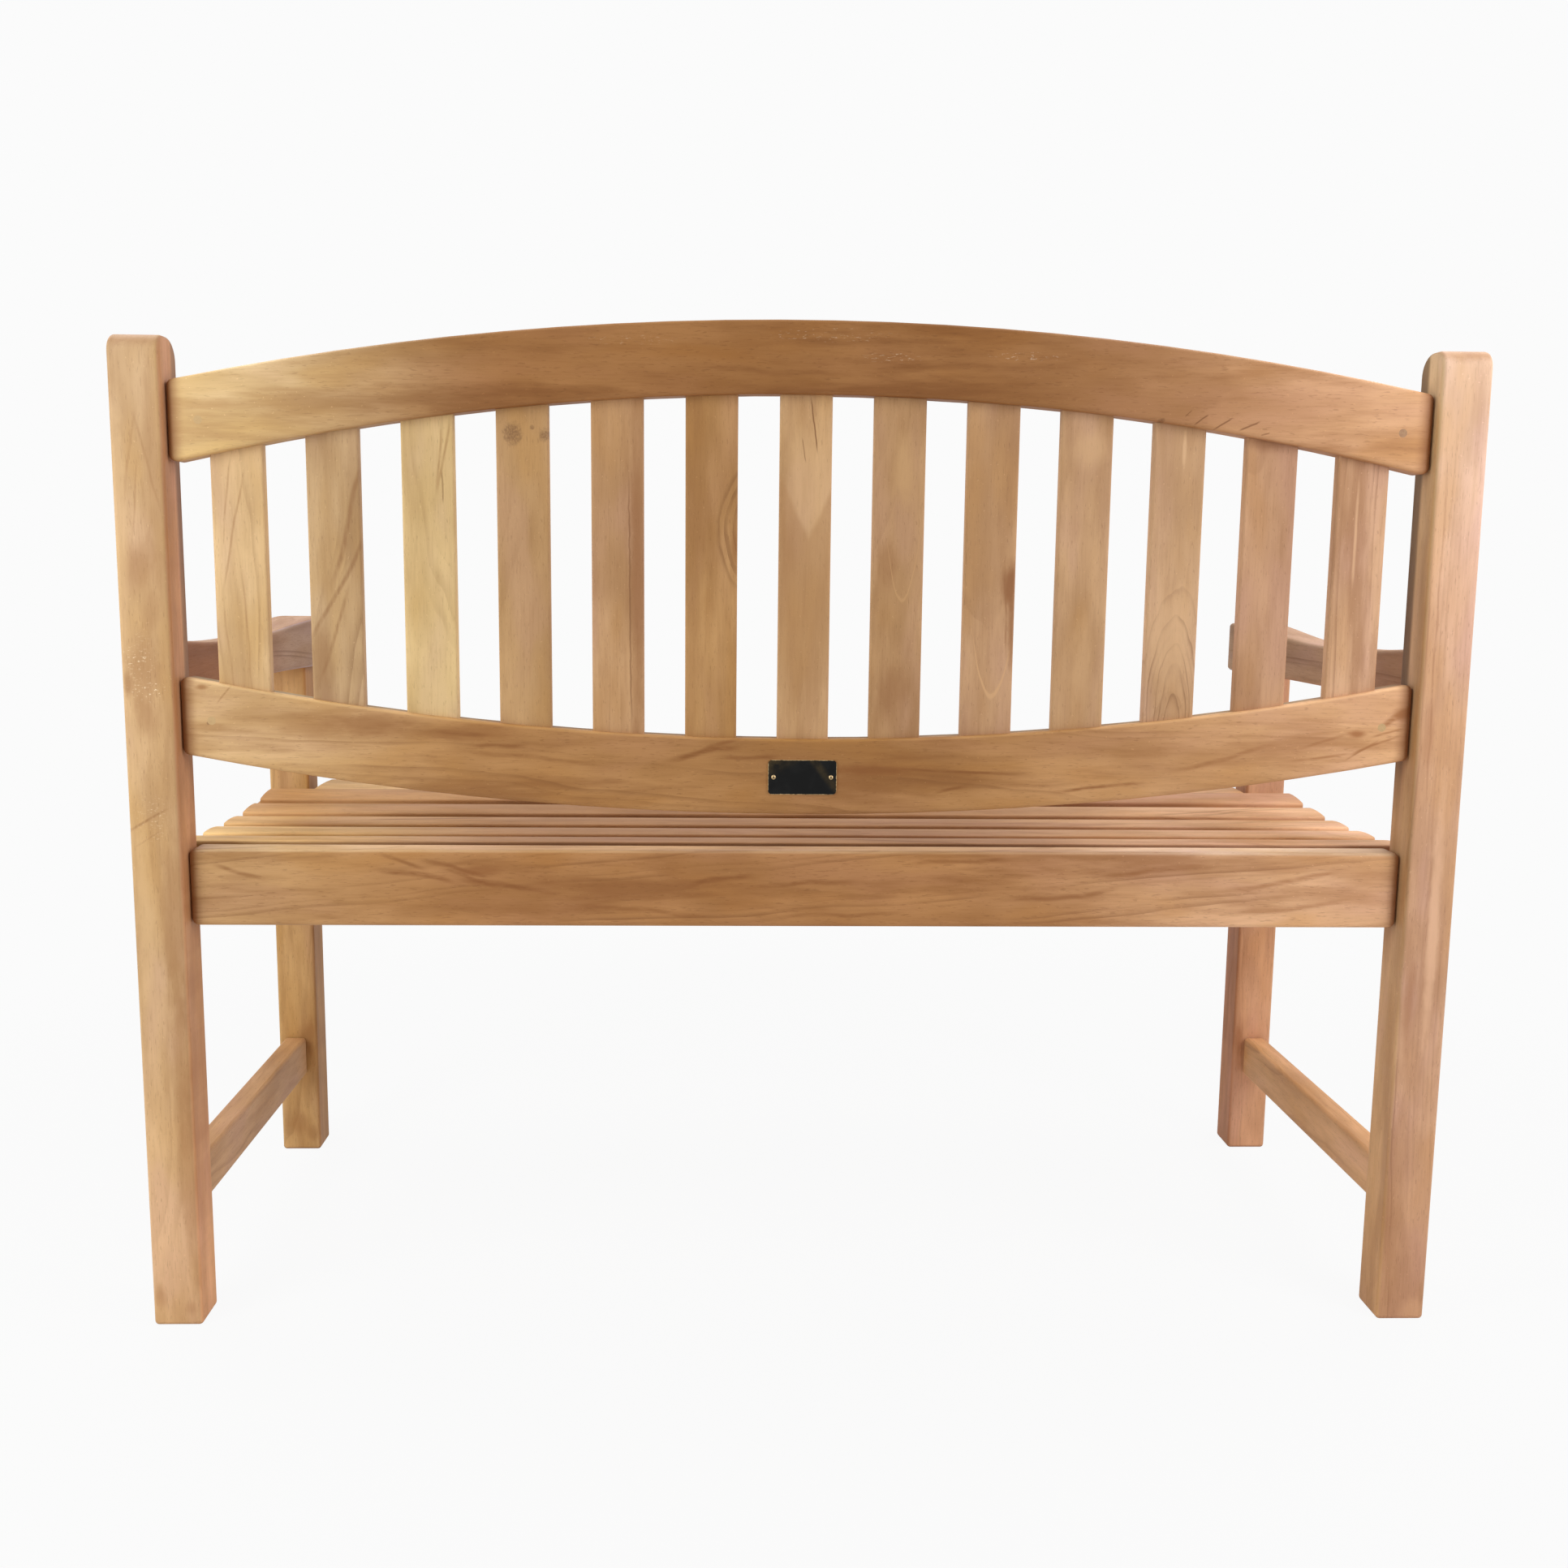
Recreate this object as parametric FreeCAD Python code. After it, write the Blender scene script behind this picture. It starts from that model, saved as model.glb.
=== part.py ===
import FreeCAD
import Part
import math
import os

# Garden bench in teak, millimetres.
# X runs across the bench, the sitter looks along -Y, Z is up.
# The origin lies on the ground under the middle of the bench.
# "Forward" in the names below is the distance in front of the rear faces of the rear legs.

Vector = FreeCAD.Vector

# Overall sizes
WIDTH = 1200.0
DEPTH = 525.0
POST_HEIGHT = 900.0
ARM_UNDERSIDE = 585.0
LEG = 45.0
ARM_OVERHANG = 40.0

# Fits
CHEEK = 0.15
END_ROOM = 1.5
EASE = 4.0
LEG_EASE = 4.0
FOOT_ROUND = 4.5
RAIL_END_ROUND = 7.5

# Post tops
POST_REAR_ROUND = 15.0
POST_FRONT_ROUND = 20.0

# Arched top back rail
TOP_RAIL_CROWN = 919.5
TOP_RAIL_CROWN_RADIUS = 2712.0
TOP_RAIL_BELLY = 856.4
TOP_RAIL_BELLY_RADIUS = 2401.0
TOP_RAIL_SETBACK = 9.0
TOP_RAIL_THICK = 26.0

# Sagging lower back rail
LOW_RAIL_TOP = 553.3
LOW_RAIL_TOP_RADIUS = 2890.0
LOW_RAIL_BOTTOM = 484.6
LOW_RAIL_BOTTOM_RADIUS = 2960.0
LOW_RAIL_SETBACK = 12.0
LOW_RAIL_THICK = 24.0

# Loose tenons and pegs of the back rails
LOOSE_THICK = 10.0
LOOSE_HEIGHT = 36.0
LOOSE_IN_POST = 25.0
LOOSE_TO_SLAT = 1.9
LOOSE_ROOM = 0.8
PEG_DIAMETER = 7.4
PEG_FROM_SHOULDER = 28.0
TOP_JOINT_LIFT = 2.0
LOW_JOINT_DROP = 5.0
PEG_LENGTH = 21.0

# Upright back slats
BACK_SLATS = 13
BACK_SLAT_WIDTH = 46.2
BACK_SLAT_THICK = 11.0
BACK_SLAT_SETBACK = 18.0
BACK_SLAT_EDGE = 2.0
BACK_SLAT_TONGUE = 13.0
BACK_END_GAP = 33.9

# Seat rails
REAR_RAIL_BOTTOM = 379.5
REAR_RAIL_TOP = 450.0
REAR_RAIL_SETBACK = 15.0
REAR_RAIL_THICK = 30.0
FRONT_RAIL_SETBACK = 9.0
FRONT_RAIL_THICK = 27.0
RAIL_UNDERSIDE = 379.5
SIDE_RAIL_THICK = 30.0
BEARER_THICK = 30.0
TENON_THICK = 10.0
TENON_LENGTH = 20.0
RAIL_TENON = 15.0
TENON_SHOULDER = 11.0
BEARER_TENON = 10.0

# Seat slats on the dished bed, heights of the bed at the bay lines
BED_START = 48.0
SEAT_BAY = 65.0
BED_HEIGHTS = (433.0, 428.5, 426.8, 426.8, 431.0, 438.0)
FRONT_BED = 430.0
SEAT_SLAT_WIDTH = 46.5
SEAT_SLAT_THICK = 19.0
SEAT_SLAT_CROWN = 1.5
SEAT_SLAT_TOP_ROUND = 3.0
SEAT_SLAT_INSET = 24.5
FRONT_SLAT_START = 388.0
FRONT_SLAT_LEG_GAP = 15.0
FRONT_SLAT_CORNER = 4.5

# Screws under the seat slats
SCREW_SHANK = 4.0
SCREW_HEAD = 8.0
SCREW_HEAD_HEIGHT = 3.0
SCREW_BITE = 12.0
SCREW_GRIP = 24.0
SCREW_POCKET = 9.0

# Side stretchers
STRETCHER_TOP = 141.0
STRETCHER_HEIGHT = 45.0
STRETCHER_THICK = 25.0
STRETCHER_SETBACK = 7.5

# Armrests, widths measured inwards from the outer faces of the legs
ARM_REAR_INNER = 35.0
ARM_FRONT_INNER = 58.0
ARM_REAR_OUTER = 7.0
ARM_FRONT_OUTER = 2.0
ARM_REAR_THICK = 53.0
ARM_DIP_THICK = 43.0
ARM_FRONT_THICK = 56.5
ARM_TENON_WIDTH = 18.0
ARM_TENON_HEIGHT = 26.0
LEG_TENON = 26.0
LEG_TENON_HEIGHT = 24.0
ARM_TOP_ROUND = 4.5
ARM_BOTTOM_ROUND = 5.0

# Name plate and pins
PLATE_WIDTH = 62.0
PLATE_HEIGHT = 31.5
PLATE_THICK = 1.0
PLATE_CORNER = 4.0
PIN_SPREAD = 26.0
PIN_HEAD = 4.2
PIN_HEAD_HEIGHT = 1.1
PIN_SHANK = 1.6
PIN_DEPTH = 9.0

# Derived sizes
HALF = WIDTH / 2
CLEAR = HALF - LEG
Y_REAR = DEPTH / 2
FRONT_LEG_FRONT = DEPTH - ARM_OVERHANG
FRONT_LEG_REAR = FRONT_LEG_FRONT - LEG
LEG_MIDDLE = HALF - LEG / 2
SEAT_SLAT_END = HALF - SEAT_SLAT_INSET
TOP_RAIL_FRONT = TOP_RAIL_SETBACK + TOP_RAIL_THICK
LOW_RAIL_FRONT = LOW_RAIL_SETBACK + LOW_RAIL_THICK
REAR_RAIL_FRONT = REAR_RAIL_SETBACK + REAR_RAIL_THICK
FRONT_RAIL_FRONT = FRONT_LEG_FRONT - FRONT_RAIL_SETBACK
FRONT_RAIL_REAR = FRONT_RAIL_FRONT - FRONT_RAIL_THICK
BACK_PITCH = (2 * CLEAR - 2 * BACK_END_GAP - BACK_SLAT_WIDTH) / (BACK_SLATS - 1)
LOOSE_IN_RAIL = BACK_END_GAP - LOOSE_TO_SLAT
SEAT_BAYS = len(BED_HEIGHTS) - 1
BED_END = BED_START + SEAT_BAYS * SEAT_BAY


def at(x, forward, z):
    return Vector(x, Y_REAR - forward, z)


def block(x0, x1, forward0, forward1, z0, z1):
    return Part.makeBox(x1 - x0, forward1 - forward0, z1 - z0, at(x0, forward1, z0))


def mirrored(shape):
    return shape.mirror(Vector(0, 0, 0), Vector(1, 0, 0))


def long_edges(shape, axis):
    picked = []
    for edge in shape.Edges:
        step = edge.Vertexes[-1].Point - edge.Vertexes[0].Point
        if step.Length > 1e-6 and abs(step.dot(axis)) > 0.999 * step.Length:
            picked.append(edge)
    return picked


def rounded_along(shape, axis, radius):
    return shape.makeFillet(radius, long_edges(shape, axis))


def joined(first, *others):
    return first.fuse(list(others)).removeSplitter()


def rise(radius, x):
    return radius - math.sqrt(radius * radius - x * x)


def arc(x0, z0, x1, z1, x2, z2, forward):
    return Part.Arc(at(x0, forward, z0), at(x1, forward, z1), at(x2, forward, z2)).toShape()


def curved_bar(top_mid, top_radius, low_mid, low_radius, sense, forward0, forward1):
    top_end = top_mid - sense * rise(top_radius, CLEAR)
    low_end = low_mid - sense * rise(low_radius, CLEAR)
    wire = Part.Wire([
        arc(-CLEAR, low_end, 0, low_mid, CLEAR, low_end, forward1),
        Part.makeLine(at(CLEAR, forward1, low_end), at(CLEAR, forward1, top_end)),
        arc(CLEAR, top_end, 0, top_mid, -CLEAR, top_end, forward1),
        Part.makeLine(at(-CLEAR, forward1, top_end), at(-CLEAR, forward1, low_end)),
    ])
    return eased_bar(Part.Face(wire).extrude(Vector(0, forward1 - forward0, 0)))


# Long edges lightly eased, both ends rounded over more
def eased_bar(bar):
    ends = [e for e in bar.Edges if e.BoundBox.XLength < 1e-6]
    bar = bar.makeFillet(RAIL_END_ROUND, ends)
    runs = [e for e in bar.Edges if e.BoundBox.XLength > CLEAR]
    return bar.makeFillet(EASE, runs)


def slat_bar(x, z0, z1, grow):
    half = BACK_SLAT_WIDTH / 2 + grow
    bar = block(x - half, x + half, BACK_SLAT_SETBACK - grow,
                BACK_SLAT_SETBACK + BACK_SLAT_THICK + grow, z0, z1)
    return rounded_along(bar, Vector(0, 0, 1), BACK_SLAT_EDGE + grow)


def loose_tenon(forward_mid, z_mid, grow, room):
    half = LOOSE_THICK / 2 + grow
    bar = block(CLEAR - LOOSE_IN_RAIL - room, CLEAR + LOOSE_IN_POST + room,
                forward_mid - half, forward_mid + half,
                z_mid - LOOSE_HEIGHT / 2 - grow, z_mid + LOOSE_HEIGHT / 2 + grow)
    return rounded_along(bar, Vector(1, 0, 0), half * 0.95)


def peg(z_mid, forward0):
    return Part.makeCylinder(PEG_DIAMETER / 2, PEG_LENGTH, at(CLEAR - PEG_FROM_SHOULDER, forward0, z_mid),
                             Vector(0, -1, 0))


def bed_height(forward):
    if forward >= BED_END:
        return FRONT_BED
    bay = min(int((forward - BED_START) / SEAT_BAY), SEAT_BAYS - 1)
    share = (forward - BED_START) / SEAT_BAY - bay
    return BED_HEIGHTS[bay] + share * (BED_HEIGHTS[bay + 1] - BED_HEIGHTS[bay])


def bed_bar(x0, x1, start, stop, underside):
    points = [at(x0, start, underside), at(x0, stop, underside)]
    if stop > FRONT_SLAT_START:
        points += [at(x0, stop, FRONT_BED), at(x0, FRONT_SLAT_START - 4, FRONT_BED)]
    else:
        points += [at(x0, stop, bed_height(stop))]
    for bay in range(SEAT_BAYS, -1, -1):
        points.append(at(x0, BED_START + bay * SEAT_BAY, BED_HEIGHTS[bay]))
    points.append(at(x0, start, BED_HEIGHTS[0]))
    points.append(points[0])
    return Part.Face(Part.makePolygon(points)).extrude(Vector(x1 - x0, 0, 0))


# Joint places shared by mating pieces
TOP_JOINT_FORWARD = TOP_RAIL_SETBACK + TOP_RAIL_THICK / 2
LOW_JOINT_FORWARD = LOW_RAIL_SETBACK + LOW_RAIL_THICK / 2
TOP_JOINT_Z = (TOP_RAIL_CROWN - rise(TOP_RAIL_CROWN_RADIUS, CLEAR)
               + TOP_RAIL_BELLY - rise(TOP_RAIL_BELLY_RADIUS, CLEAR)) / 2 + TOP_JOINT_LIFT
LOW_JOINT_Z = (LOW_RAIL_TOP + rise(LOW_RAIL_TOP_RADIUS, CLEAR)
               + LOW_RAIL_BOTTOM + rise(LOW_RAIL_BOTTOM_RADIUS, CLEAR)) / 2 - LOW_JOINT_DROP


def rear_rail_tenon(grow, room):
    middle = REAR_RAIL_SETBACK + REAR_RAIL_THICK / 2
    half = TENON_THICK / 2 + grow
    return block(CLEAR - 6, CLEAR + RAIL_TENON + room, middle - half, middle + half,
                 REAR_RAIL_BOTTOM + TENON_SHOULDER - grow, REAR_RAIL_TOP - TENON_SHOULDER + grow)


def front_rail_tenon(grow, room):
    middle = FRONT_RAIL_REAR + FRONT_RAIL_THICK / 2
    half = TENON_THICK / 2 + grow
    return block(CLEAR - 6, CLEAR + RAIL_TENON + room, middle - half, middle + half,
                 RAIL_UNDERSIDE + TENON_SHOULDER - grow, FRONT_BED - TENON_SHOULDER + grow)


def side_tenons(z0, z1, grow, room):
    half = TENON_THICK / 2 + grow
    reach = TENON_LENGTH + room
    rear = block(LEG_MIDDLE - half, LEG_MIDDLE + half, LEG - reach, LEG + 6, z0 - grow, z1 + grow)
    front = block(LEG_MIDDLE - half, LEG_MIDDLE + half, FRONT_LEG_REAR - 6, FRONT_LEG_REAR + reach,
                  z0 - grow, z1 + grow)
    return rear, front


SIDE_TENON_LOW = RAIL_UNDERSIDE + 9.0
SIDE_TENON_HIGH = min(BED_HEIGHTS) - 9.0
STRETCHER_LOW = STRETCHER_TOP - STRETCHER_HEIGHT
STRETCHER_TENON_LOW = STRETCHER_LOW + TENON_SHOULDER
STRETCHER_TENON_HIGH = STRETCHER_TOP - TENON_SHOULDER


def arm_tenon(grow, room):
    half = ARM_TENON_WIDTH / 2 + grow
    low = ARM_UNDERSIDE + 11.0 - grow
    return block(LEG_MIDDLE - half, LEG_MIDDLE + half, LEG - TENON_LENGTH - room, LEG + 6,
                 low, low + ARM_TENON_HEIGHT + 2 * grow)


def leg_tenon(grow, room):
    middle = (FRONT_LEG_REAR + FRONT_LEG_FRONT) / 2
    half = LEG_TENON / 2 + grow
    return block(LEG_MIDDLE - half, LEG_MIDDLE + half, middle - half, middle + half,
                 ARM_UNDERSIDE - 6, ARM_UNDERSIDE + LEG_TENON_HEIGHT + room)


# Rear leg that runs up as back post, rounded over at the top
def rear_leg():
    turn = math.sqrt(0.5)
    rear = POST_REAR_ROUND
    front = POST_FRONT_ROUND
    top = POST_HEIGHT
    foot = FOOT_ROUND
    heel = foot - foot * turn
    outline = Part.Wire([
        Part.makeLine(at(CLEAR, 0, foot), at(CLEAR, 0, top - rear)),
        Part.Arc(at(CLEAR, 0, top - rear), at(CLEAR, rear - rear * turn, top - rear + rear * turn),
                 at(CLEAR, rear, top)).toShape(),
        Part.makeLine(at(CLEAR, rear, top), at(CLEAR, LEG - front, top)),
        Part.Arc(at(CLEAR, LEG - front, top), at(CLEAR, LEG - front + front * turn, top - front + front * turn),
                 at(CLEAR, LEG, top - front)).toShape(),
        Part.makeLine(at(CLEAR, LEG, top - front), at(CLEAR, LEG, foot)),
        Part.Arc(at(CLEAR, LEG, foot), at(CLEAR, LEG - heel, heel), at(CLEAR, LEG - foot, 0)).toShape(),
        Part.makeLine(at(CLEAR, LEG - foot, 0), at(CLEAR, foot, 0)),
        Part.Arc(at(CLEAR, foot, 0), at(CLEAR, heel, heel), at(CLEAR, 0, foot)).toShape(),
    ])
    leg = Part.Face(outline).extrude(Vector(LEG, 0, 0))
    rims = [e for e in leg.Edges if abs(e.BoundBox.XLength) < 1e-6]
    leg = leg.makeFillet(LEG_EASE, rims)
    rear_side, front_side = side_tenons(SIDE_TENON_LOW, SIDE_TENON_HIGH, CHEEK, END_ROOM)
    rear_stretch, front_stretch = side_tenons(STRETCHER_TENON_LOW, STRETCHER_TENON_HIGH, CHEEK, END_ROOM)
    return leg.cut([
        loose_tenon(TOP_JOINT_FORWARD, TOP_JOINT_Z, CHEEK, LOOSE_ROOM),
        loose_tenon(LOW_JOINT_FORWARD, LOW_JOINT_Z, CHEEK, LOOSE_ROOM),
        rear_rail_tenon(CHEEK, END_ROOM),
        rear_side,
        rear_stretch,
        arm_tenon(CHEEK, END_ROOM),
    ])


# Front leg with a tenon up into the armrest
def front_leg():
    leg = block(CLEAR, HALF, FRONT_LEG_REAR, FRONT_LEG_FRONT, 0, ARM_UNDERSIDE)
    toes = [e for e in long_edges(leg, Vector(1, 0, 0)) if e.BoundBox.ZMax < 1]
    leg = leg.makeFillet(FOOT_ROUND, toes)
    rims = [e for e in leg.Edges if e.BoundBox.XLength < 1e-6 and e.BoundBox.ZMin < ARM_UNDERSIDE - 1]
    leg = leg.makeFillet(LEG_EASE, rims)
    rear_side, front_side = side_tenons(SIDE_TENON_LOW, SIDE_TENON_HIGH, CHEEK, END_ROOM)
    rear_stretch, front_stretch = side_tenons(STRETCHER_TENON_LOW, STRETCHER_TENON_HIGH, CHEEK, END_ROOM)
    leg = leg.cut([front_rail_tenon(CHEEK, END_ROOM), front_side, front_stretch])
    return joined(leg, leg_tenon(0, 0))


# Armrest: plan outline with a broad rounded front, top that dips and rises to the front
def arm_plan():
    run = DEPTH - LEG
    spread = ARM_FRONT_INNER - ARM_REAR_INNER
    inner = [(0, 0), (0.22, 0.04), (0.5, 0.17), (0.72, 0.48), (0.85, 0.91), (0.925, 1.0), (0.98, 0.6)]
    points = [(HALF - ARM_REAR_INNER - spread * flare, LEG + run * along) for along, flare in inner]
    nose = HALF - (ARM_FRONT_INNER + ARM_FRONT_OUTER) / 2
    points.append((nose, DEPTH))
    points.append((HALF - ARM_FRONT_OUTER - ARM_REAR_OUTER, LEG + run * 0.98))
    points.append((HALF - ARM_FRONT_OUTER, LEG + run * 0.93))
    points.append((HALF - ARM_FRONT_OUTER / 2, LEG + run * 0.82))
    points.append((HALF - ARM_REAR_OUTER / 2, LEG + run * 0.43))
    points.append((HALF - ARM_REAR_OUTER, LEG))
    return points


def arm_crest():
    run = DEPTH - LEG
    rear = ARM_REAR_THICK - ARM_DIP_THICK
    front = ARM_FRONT_THICK - ARM_DIP_THICK
    shares = [(-0.03, rear), (0.05, 0.7 * rear), (0.2, 0.25 * rear), (0.385, 0), (0.585, 0.17 * front),
              (0.74, 0.6 * front), (0.855, 0.93 * front), (0.95, front), (1.03, 0.7 * front)]
    return [(LEG + run * along, ARM_UNDERSIDE + ARM_DIP_THICK + extra) for along, extra in shares]


def armrest():
    plan = arm_plan()
    low = ARM_UNDERSIDE
    curve = Part.BSplineCurve()
    curve.interpolate([at(x, f, low) for x, f in plan])
    outline = Part.Wire([curve.toShape(), Part.makeLine(at(*plan[-1], low), at(*plan[0], low))])
    body = Part.Face(outline).extrude(Vector(0, 0, 2 * ARM_FRONT_THICK))
    top = arm_crest()
    inside = CLEAR - ARM_FRONT_INNER
    crest = Part.BSplineCurve()
    crest.interpolate([at(inside, f, z) for f, z in top])
    first = top[0][0]
    last = top[-1][0]
    below = low - ARM_DIP_THICK
    side = Part.Wire([
        crest.toShape(),
        Part.makeLine(at(inside, last, top[-1][1]), at(inside, last, below)),
        Part.makeLine(at(inside, last, below), at(inside, first, below)),
        Part.makeLine(at(inside, first, below), at(inside, first, top[0][1])),
    ])
    body = body.common(Part.Face(side).extrude(Vector(3 * ARM_FRONT_INNER, 0, 0)))
    rear = Y_REAR - LEG
    rims = [e for e in body.Edges if e.BoundBox.YMin < rear - 1]
    tops = [e for e in rims if e.BoundBox.ZMin > low + ARM_DIP_THICK / 2]
    body = body.makeFillet(ARM_TOP_ROUND, tops)
    rims = [e for e in body.Edges if e.BoundBox.YMin < rear - 1]
    lows = [e for e in rims if e.BoundBox.ZMax < low + 1e-4]
    body = body.makeFillet(ARM_BOTTOM_ROUND, lows)
    body = body.cut(leg_tenon(CHEEK, END_ROOM))
    return joined(body, arm_tenon(0, 0))


# Curved back rails with slat mortises, tenon mortises and peg holes
def back_slat_span(x):
    top = TOP_RAIL_BELLY - rise(TOP_RAIL_BELLY_RADIUS, abs(x)) + BACK_SLAT_TONGUE
    low = LOW_RAIL_TOP + rise(LOW_RAIL_TOP_RADIUS, abs(x)) - BACK_SLAT_TONGUE
    return low, top


SLAT_PLACES = [(i - (BACK_SLATS - 1) / 2) * BACK_PITCH for i in range(BACK_SLATS)]


def top_back_rail():
    bar = curved_bar(TOP_RAIL_CROWN, TOP_RAIL_CROWN_RADIUS, TOP_RAIL_BELLY, TOP_RAIL_BELLY_RADIUS, 1,
                     TOP_RAIL_SETBACK, TOP_RAIL_FRONT)
    cuts = []
    for x in SLAT_PLACES:
        low, top = back_slat_span(x)
        cuts.append(slat_bar(x, top - 2 * BACK_SLAT_TONGUE, top + END_ROOM, CHEEK))
    tenon = loose_tenon(TOP_JOINT_FORWARD, TOP_JOINT_Z, CHEEK, LOOSE_ROOM)
    hole = peg(TOP_JOINT_Z, TOP_RAIL_SETBACK)
    cuts += [tenon, mirrored(tenon), hole, mirrored(hole)]
    return bar.cut(cuts)


def lower_back_rail():
    bar = curved_bar(LOW_RAIL_TOP, LOW_RAIL_TOP_RADIUS, LOW_RAIL_BOTTOM, LOW_RAIL_BOTTOM_RADIUS, -1,
                     LOW_RAIL_SETBACK, LOW_RAIL_FRONT)
    cuts = []
    for x in SLAT_PLACES:
        low, top = back_slat_span(x)
        cuts.append(slat_bar(x, low - END_ROOM, low + 2 * BACK_SLAT_TONGUE, CHEEK))
    tenon = loose_tenon(LOW_JOINT_FORWARD, LOW_JOINT_Z, CHEEK, LOOSE_ROOM)
    hole = peg(LOW_JOINT_Z, LOW_RAIL_SETBACK)
    cuts += [tenon, mirrored(tenon), hole, mirrored(hole)]
    for side in (-1, 1):
        cuts.append(pin_shank(side))
    return bar.cut(cuts)


def back_slat(x):
    low, top = back_slat_span(x)
    return slat_bar(x, low, top, 0)


def loose_tenons():
    tenons = []
    for forward, z, face in ((TOP_JOINT_FORWARD, TOP_JOINT_Z, TOP_RAIL_SETBACK),
                             (LOW_JOINT_FORWARD, LOW_JOINT_Z, LOW_RAIL_SETBACK)):
        tenon = loose_tenon(forward, z, 0, 0).cut(peg(z, face))
        tenons += [tenon, mirrored(tenon)]
    return Part.makeCompound(tenons)


def back_rail_pegs():
    pegs = [peg(TOP_JOINT_Z, TOP_RAIL_SETBACK), peg(LOW_JOINT_Z, LOW_RAIL_SETBACK)]
    return Part.makeCompound(pegs + [mirrored(p) for p in pegs])


# Screws under the seat slats, each in a pocket bored from below
def screw_places():
    places = []
    for bay in range(SEAT_BAYS):
        forward = BED_START + (bay + 0.5) * SEAT_BAY
        for x in (-LEG_MIDDLE + 4, 0, LEG_MIDDLE - 4):
            places.append((x, forward))
    middle = FRONT_RAIL_REAR + FRONT_RAIL_THICK / 2
    for x in (-CLEAR * 0.55, CLEAR * 0.55):
        places.append((x, middle))
    places.append((0, (FRONT_SLAT_START + FRONT_RAIL_REAR) / 2))
    return places


def screw(x, forward):
    bed = bed_height(forward)
    base = bed - SCREW_GRIP
    head = Part.makeCylinder(SCREW_HEAD / 2, SCREW_HEAD_HEIGHT, at(x, forward, base - SCREW_HEAD_HEIGHT))
    shank = Part.makeCylinder(SCREW_SHANK / 2, SCREW_GRIP + SCREW_BITE - 4, at(x, forward, base))
    point = Part.makeCone(SCREW_SHANK / 2, 0.4, 4, at(x, forward, bed + SCREW_BITE - 4))
    return joined(head, shank, point)


def screw_bore(x, forward):
    bed = bed_height(forward)
    base = bed - SCREW_GRIP
    pocket = Part.makeCylinder(SCREW_POCKET / 2, base - RAIL_UNDERSIDE + 5, at(x, forward, RAIL_UNDERSIDE - 5))
    way = Part.makeCylinder(SCREW_SHANK / 2 + CHEEK, SCREW_GRIP + 5, at(x, forward, base))
    return joined(pocket, way)


def bores(test):
    return [screw_bore(x, f) for x, f in screw_places() if test(x, f)]


def seat_slat_screws():
    return Part.makeCompound([screw(x, f) for x, f in screw_places()])


# Seat rails
def rear_seat_rail():
    bar = block(-CLEAR, CLEAR, REAR_RAIL_SETBACK, REAR_RAIL_FRONT, REAR_RAIL_BOTTOM, REAR_RAIL_TOP)
    bar = eased_bar(bar)
    tenon = rear_rail_tenon(0, 0)
    bar = joined(bar, tenon, mirrored(tenon))
    return bar.cut(bearer_tenons(CHEEK, END_ROOM)[0])


def front_seat_rail():
    bar = block(-CLEAR, CLEAR, FRONT_RAIL_REAR, FRONT_RAIL_FRONT, RAIL_UNDERSIDE, FRONT_BED)
    ease = [e for e in bar.Edges if e.BoundBox.ZMin < FRONT_BED - 1]
    bar = bar.makeFillet(EASE, ease)
    tenon = front_rail_tenon(0, 0)
    bar = joined(bar, tenon, mirrored(tenon))
    holes = bores(lambda x, f: FRONT_RAIL_REAR < f < FRONT_RAIL_FRONT)
    return bar.cut([bearer_tenons(CHEEK, END_ROOM)[1]] + holes)


def bearer_tenons(grow, room):
    half = TENON_THICK / 2 + grow
    low = SIDE_TENON_LOW - grow
    high = SIDE_TENON_HIGH + grow
    rear = block(-half, half, REAR_RAIL_FRONT - BEARER_TENON - room, REAR_RAIL_FRONT + 6, low, high)
    front = block(-half, half, FRONT_RAIL_REAR - 6, FRONT_RAIL_REAR + BEARER_TENON + room, low, high)
    return rear, front


def centre_seat_bearer():
    bar = bed_bar(-BEARER_THICK / 2, BEARER_THICK / 2, REAR_RAIL_FRONT, FRONT_RAIL_REAR, RAIL_UNDERSIDE)
    rear, front = bearer_tenons(0, 0)
    bar = joined(bar, rear, front)
    return bar.cut(bores(lambda x, f: abs(x) < 1 and f < FRONT_RAIL_REAR))


def side_seat_rail():
    bar = bed_bar(LEG_MIDDLE - SIDE_RAIL_THICK / 2, LEG_MIDDLE + SIDE_RAIL_THICK / 2, LEG, FRONT_LEG_REAR,
                  RAIL_UNDERSIDE)
    rear, front = side_tenons(SIDE_TENON_LOW, SIDE_TENON_HIGH, 0, 0)
    bar = joined(bar, rear, front)
    return bar.cut(bores(lambda x, f: x > LEG_MIDDLE - SIDE_RAIL_THICK / 2))


def side_stretcher():
    outer = HALF - STRETCHER_SETBACK
    bar = block(outer - STRETCHER_THICK, outer, LEG, FRONT_LEG_REAR, STRETCHER_LOW, STRETCHER_TOP)
    bar = bar.makeFillet(EASE, bar.Edges)
    rear, front = side_tenons(STRETCHER_TENON_LOW, STRETCHER_TENON_HIGH, 0, 0)
    return joined(bar, rear, front)


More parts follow.
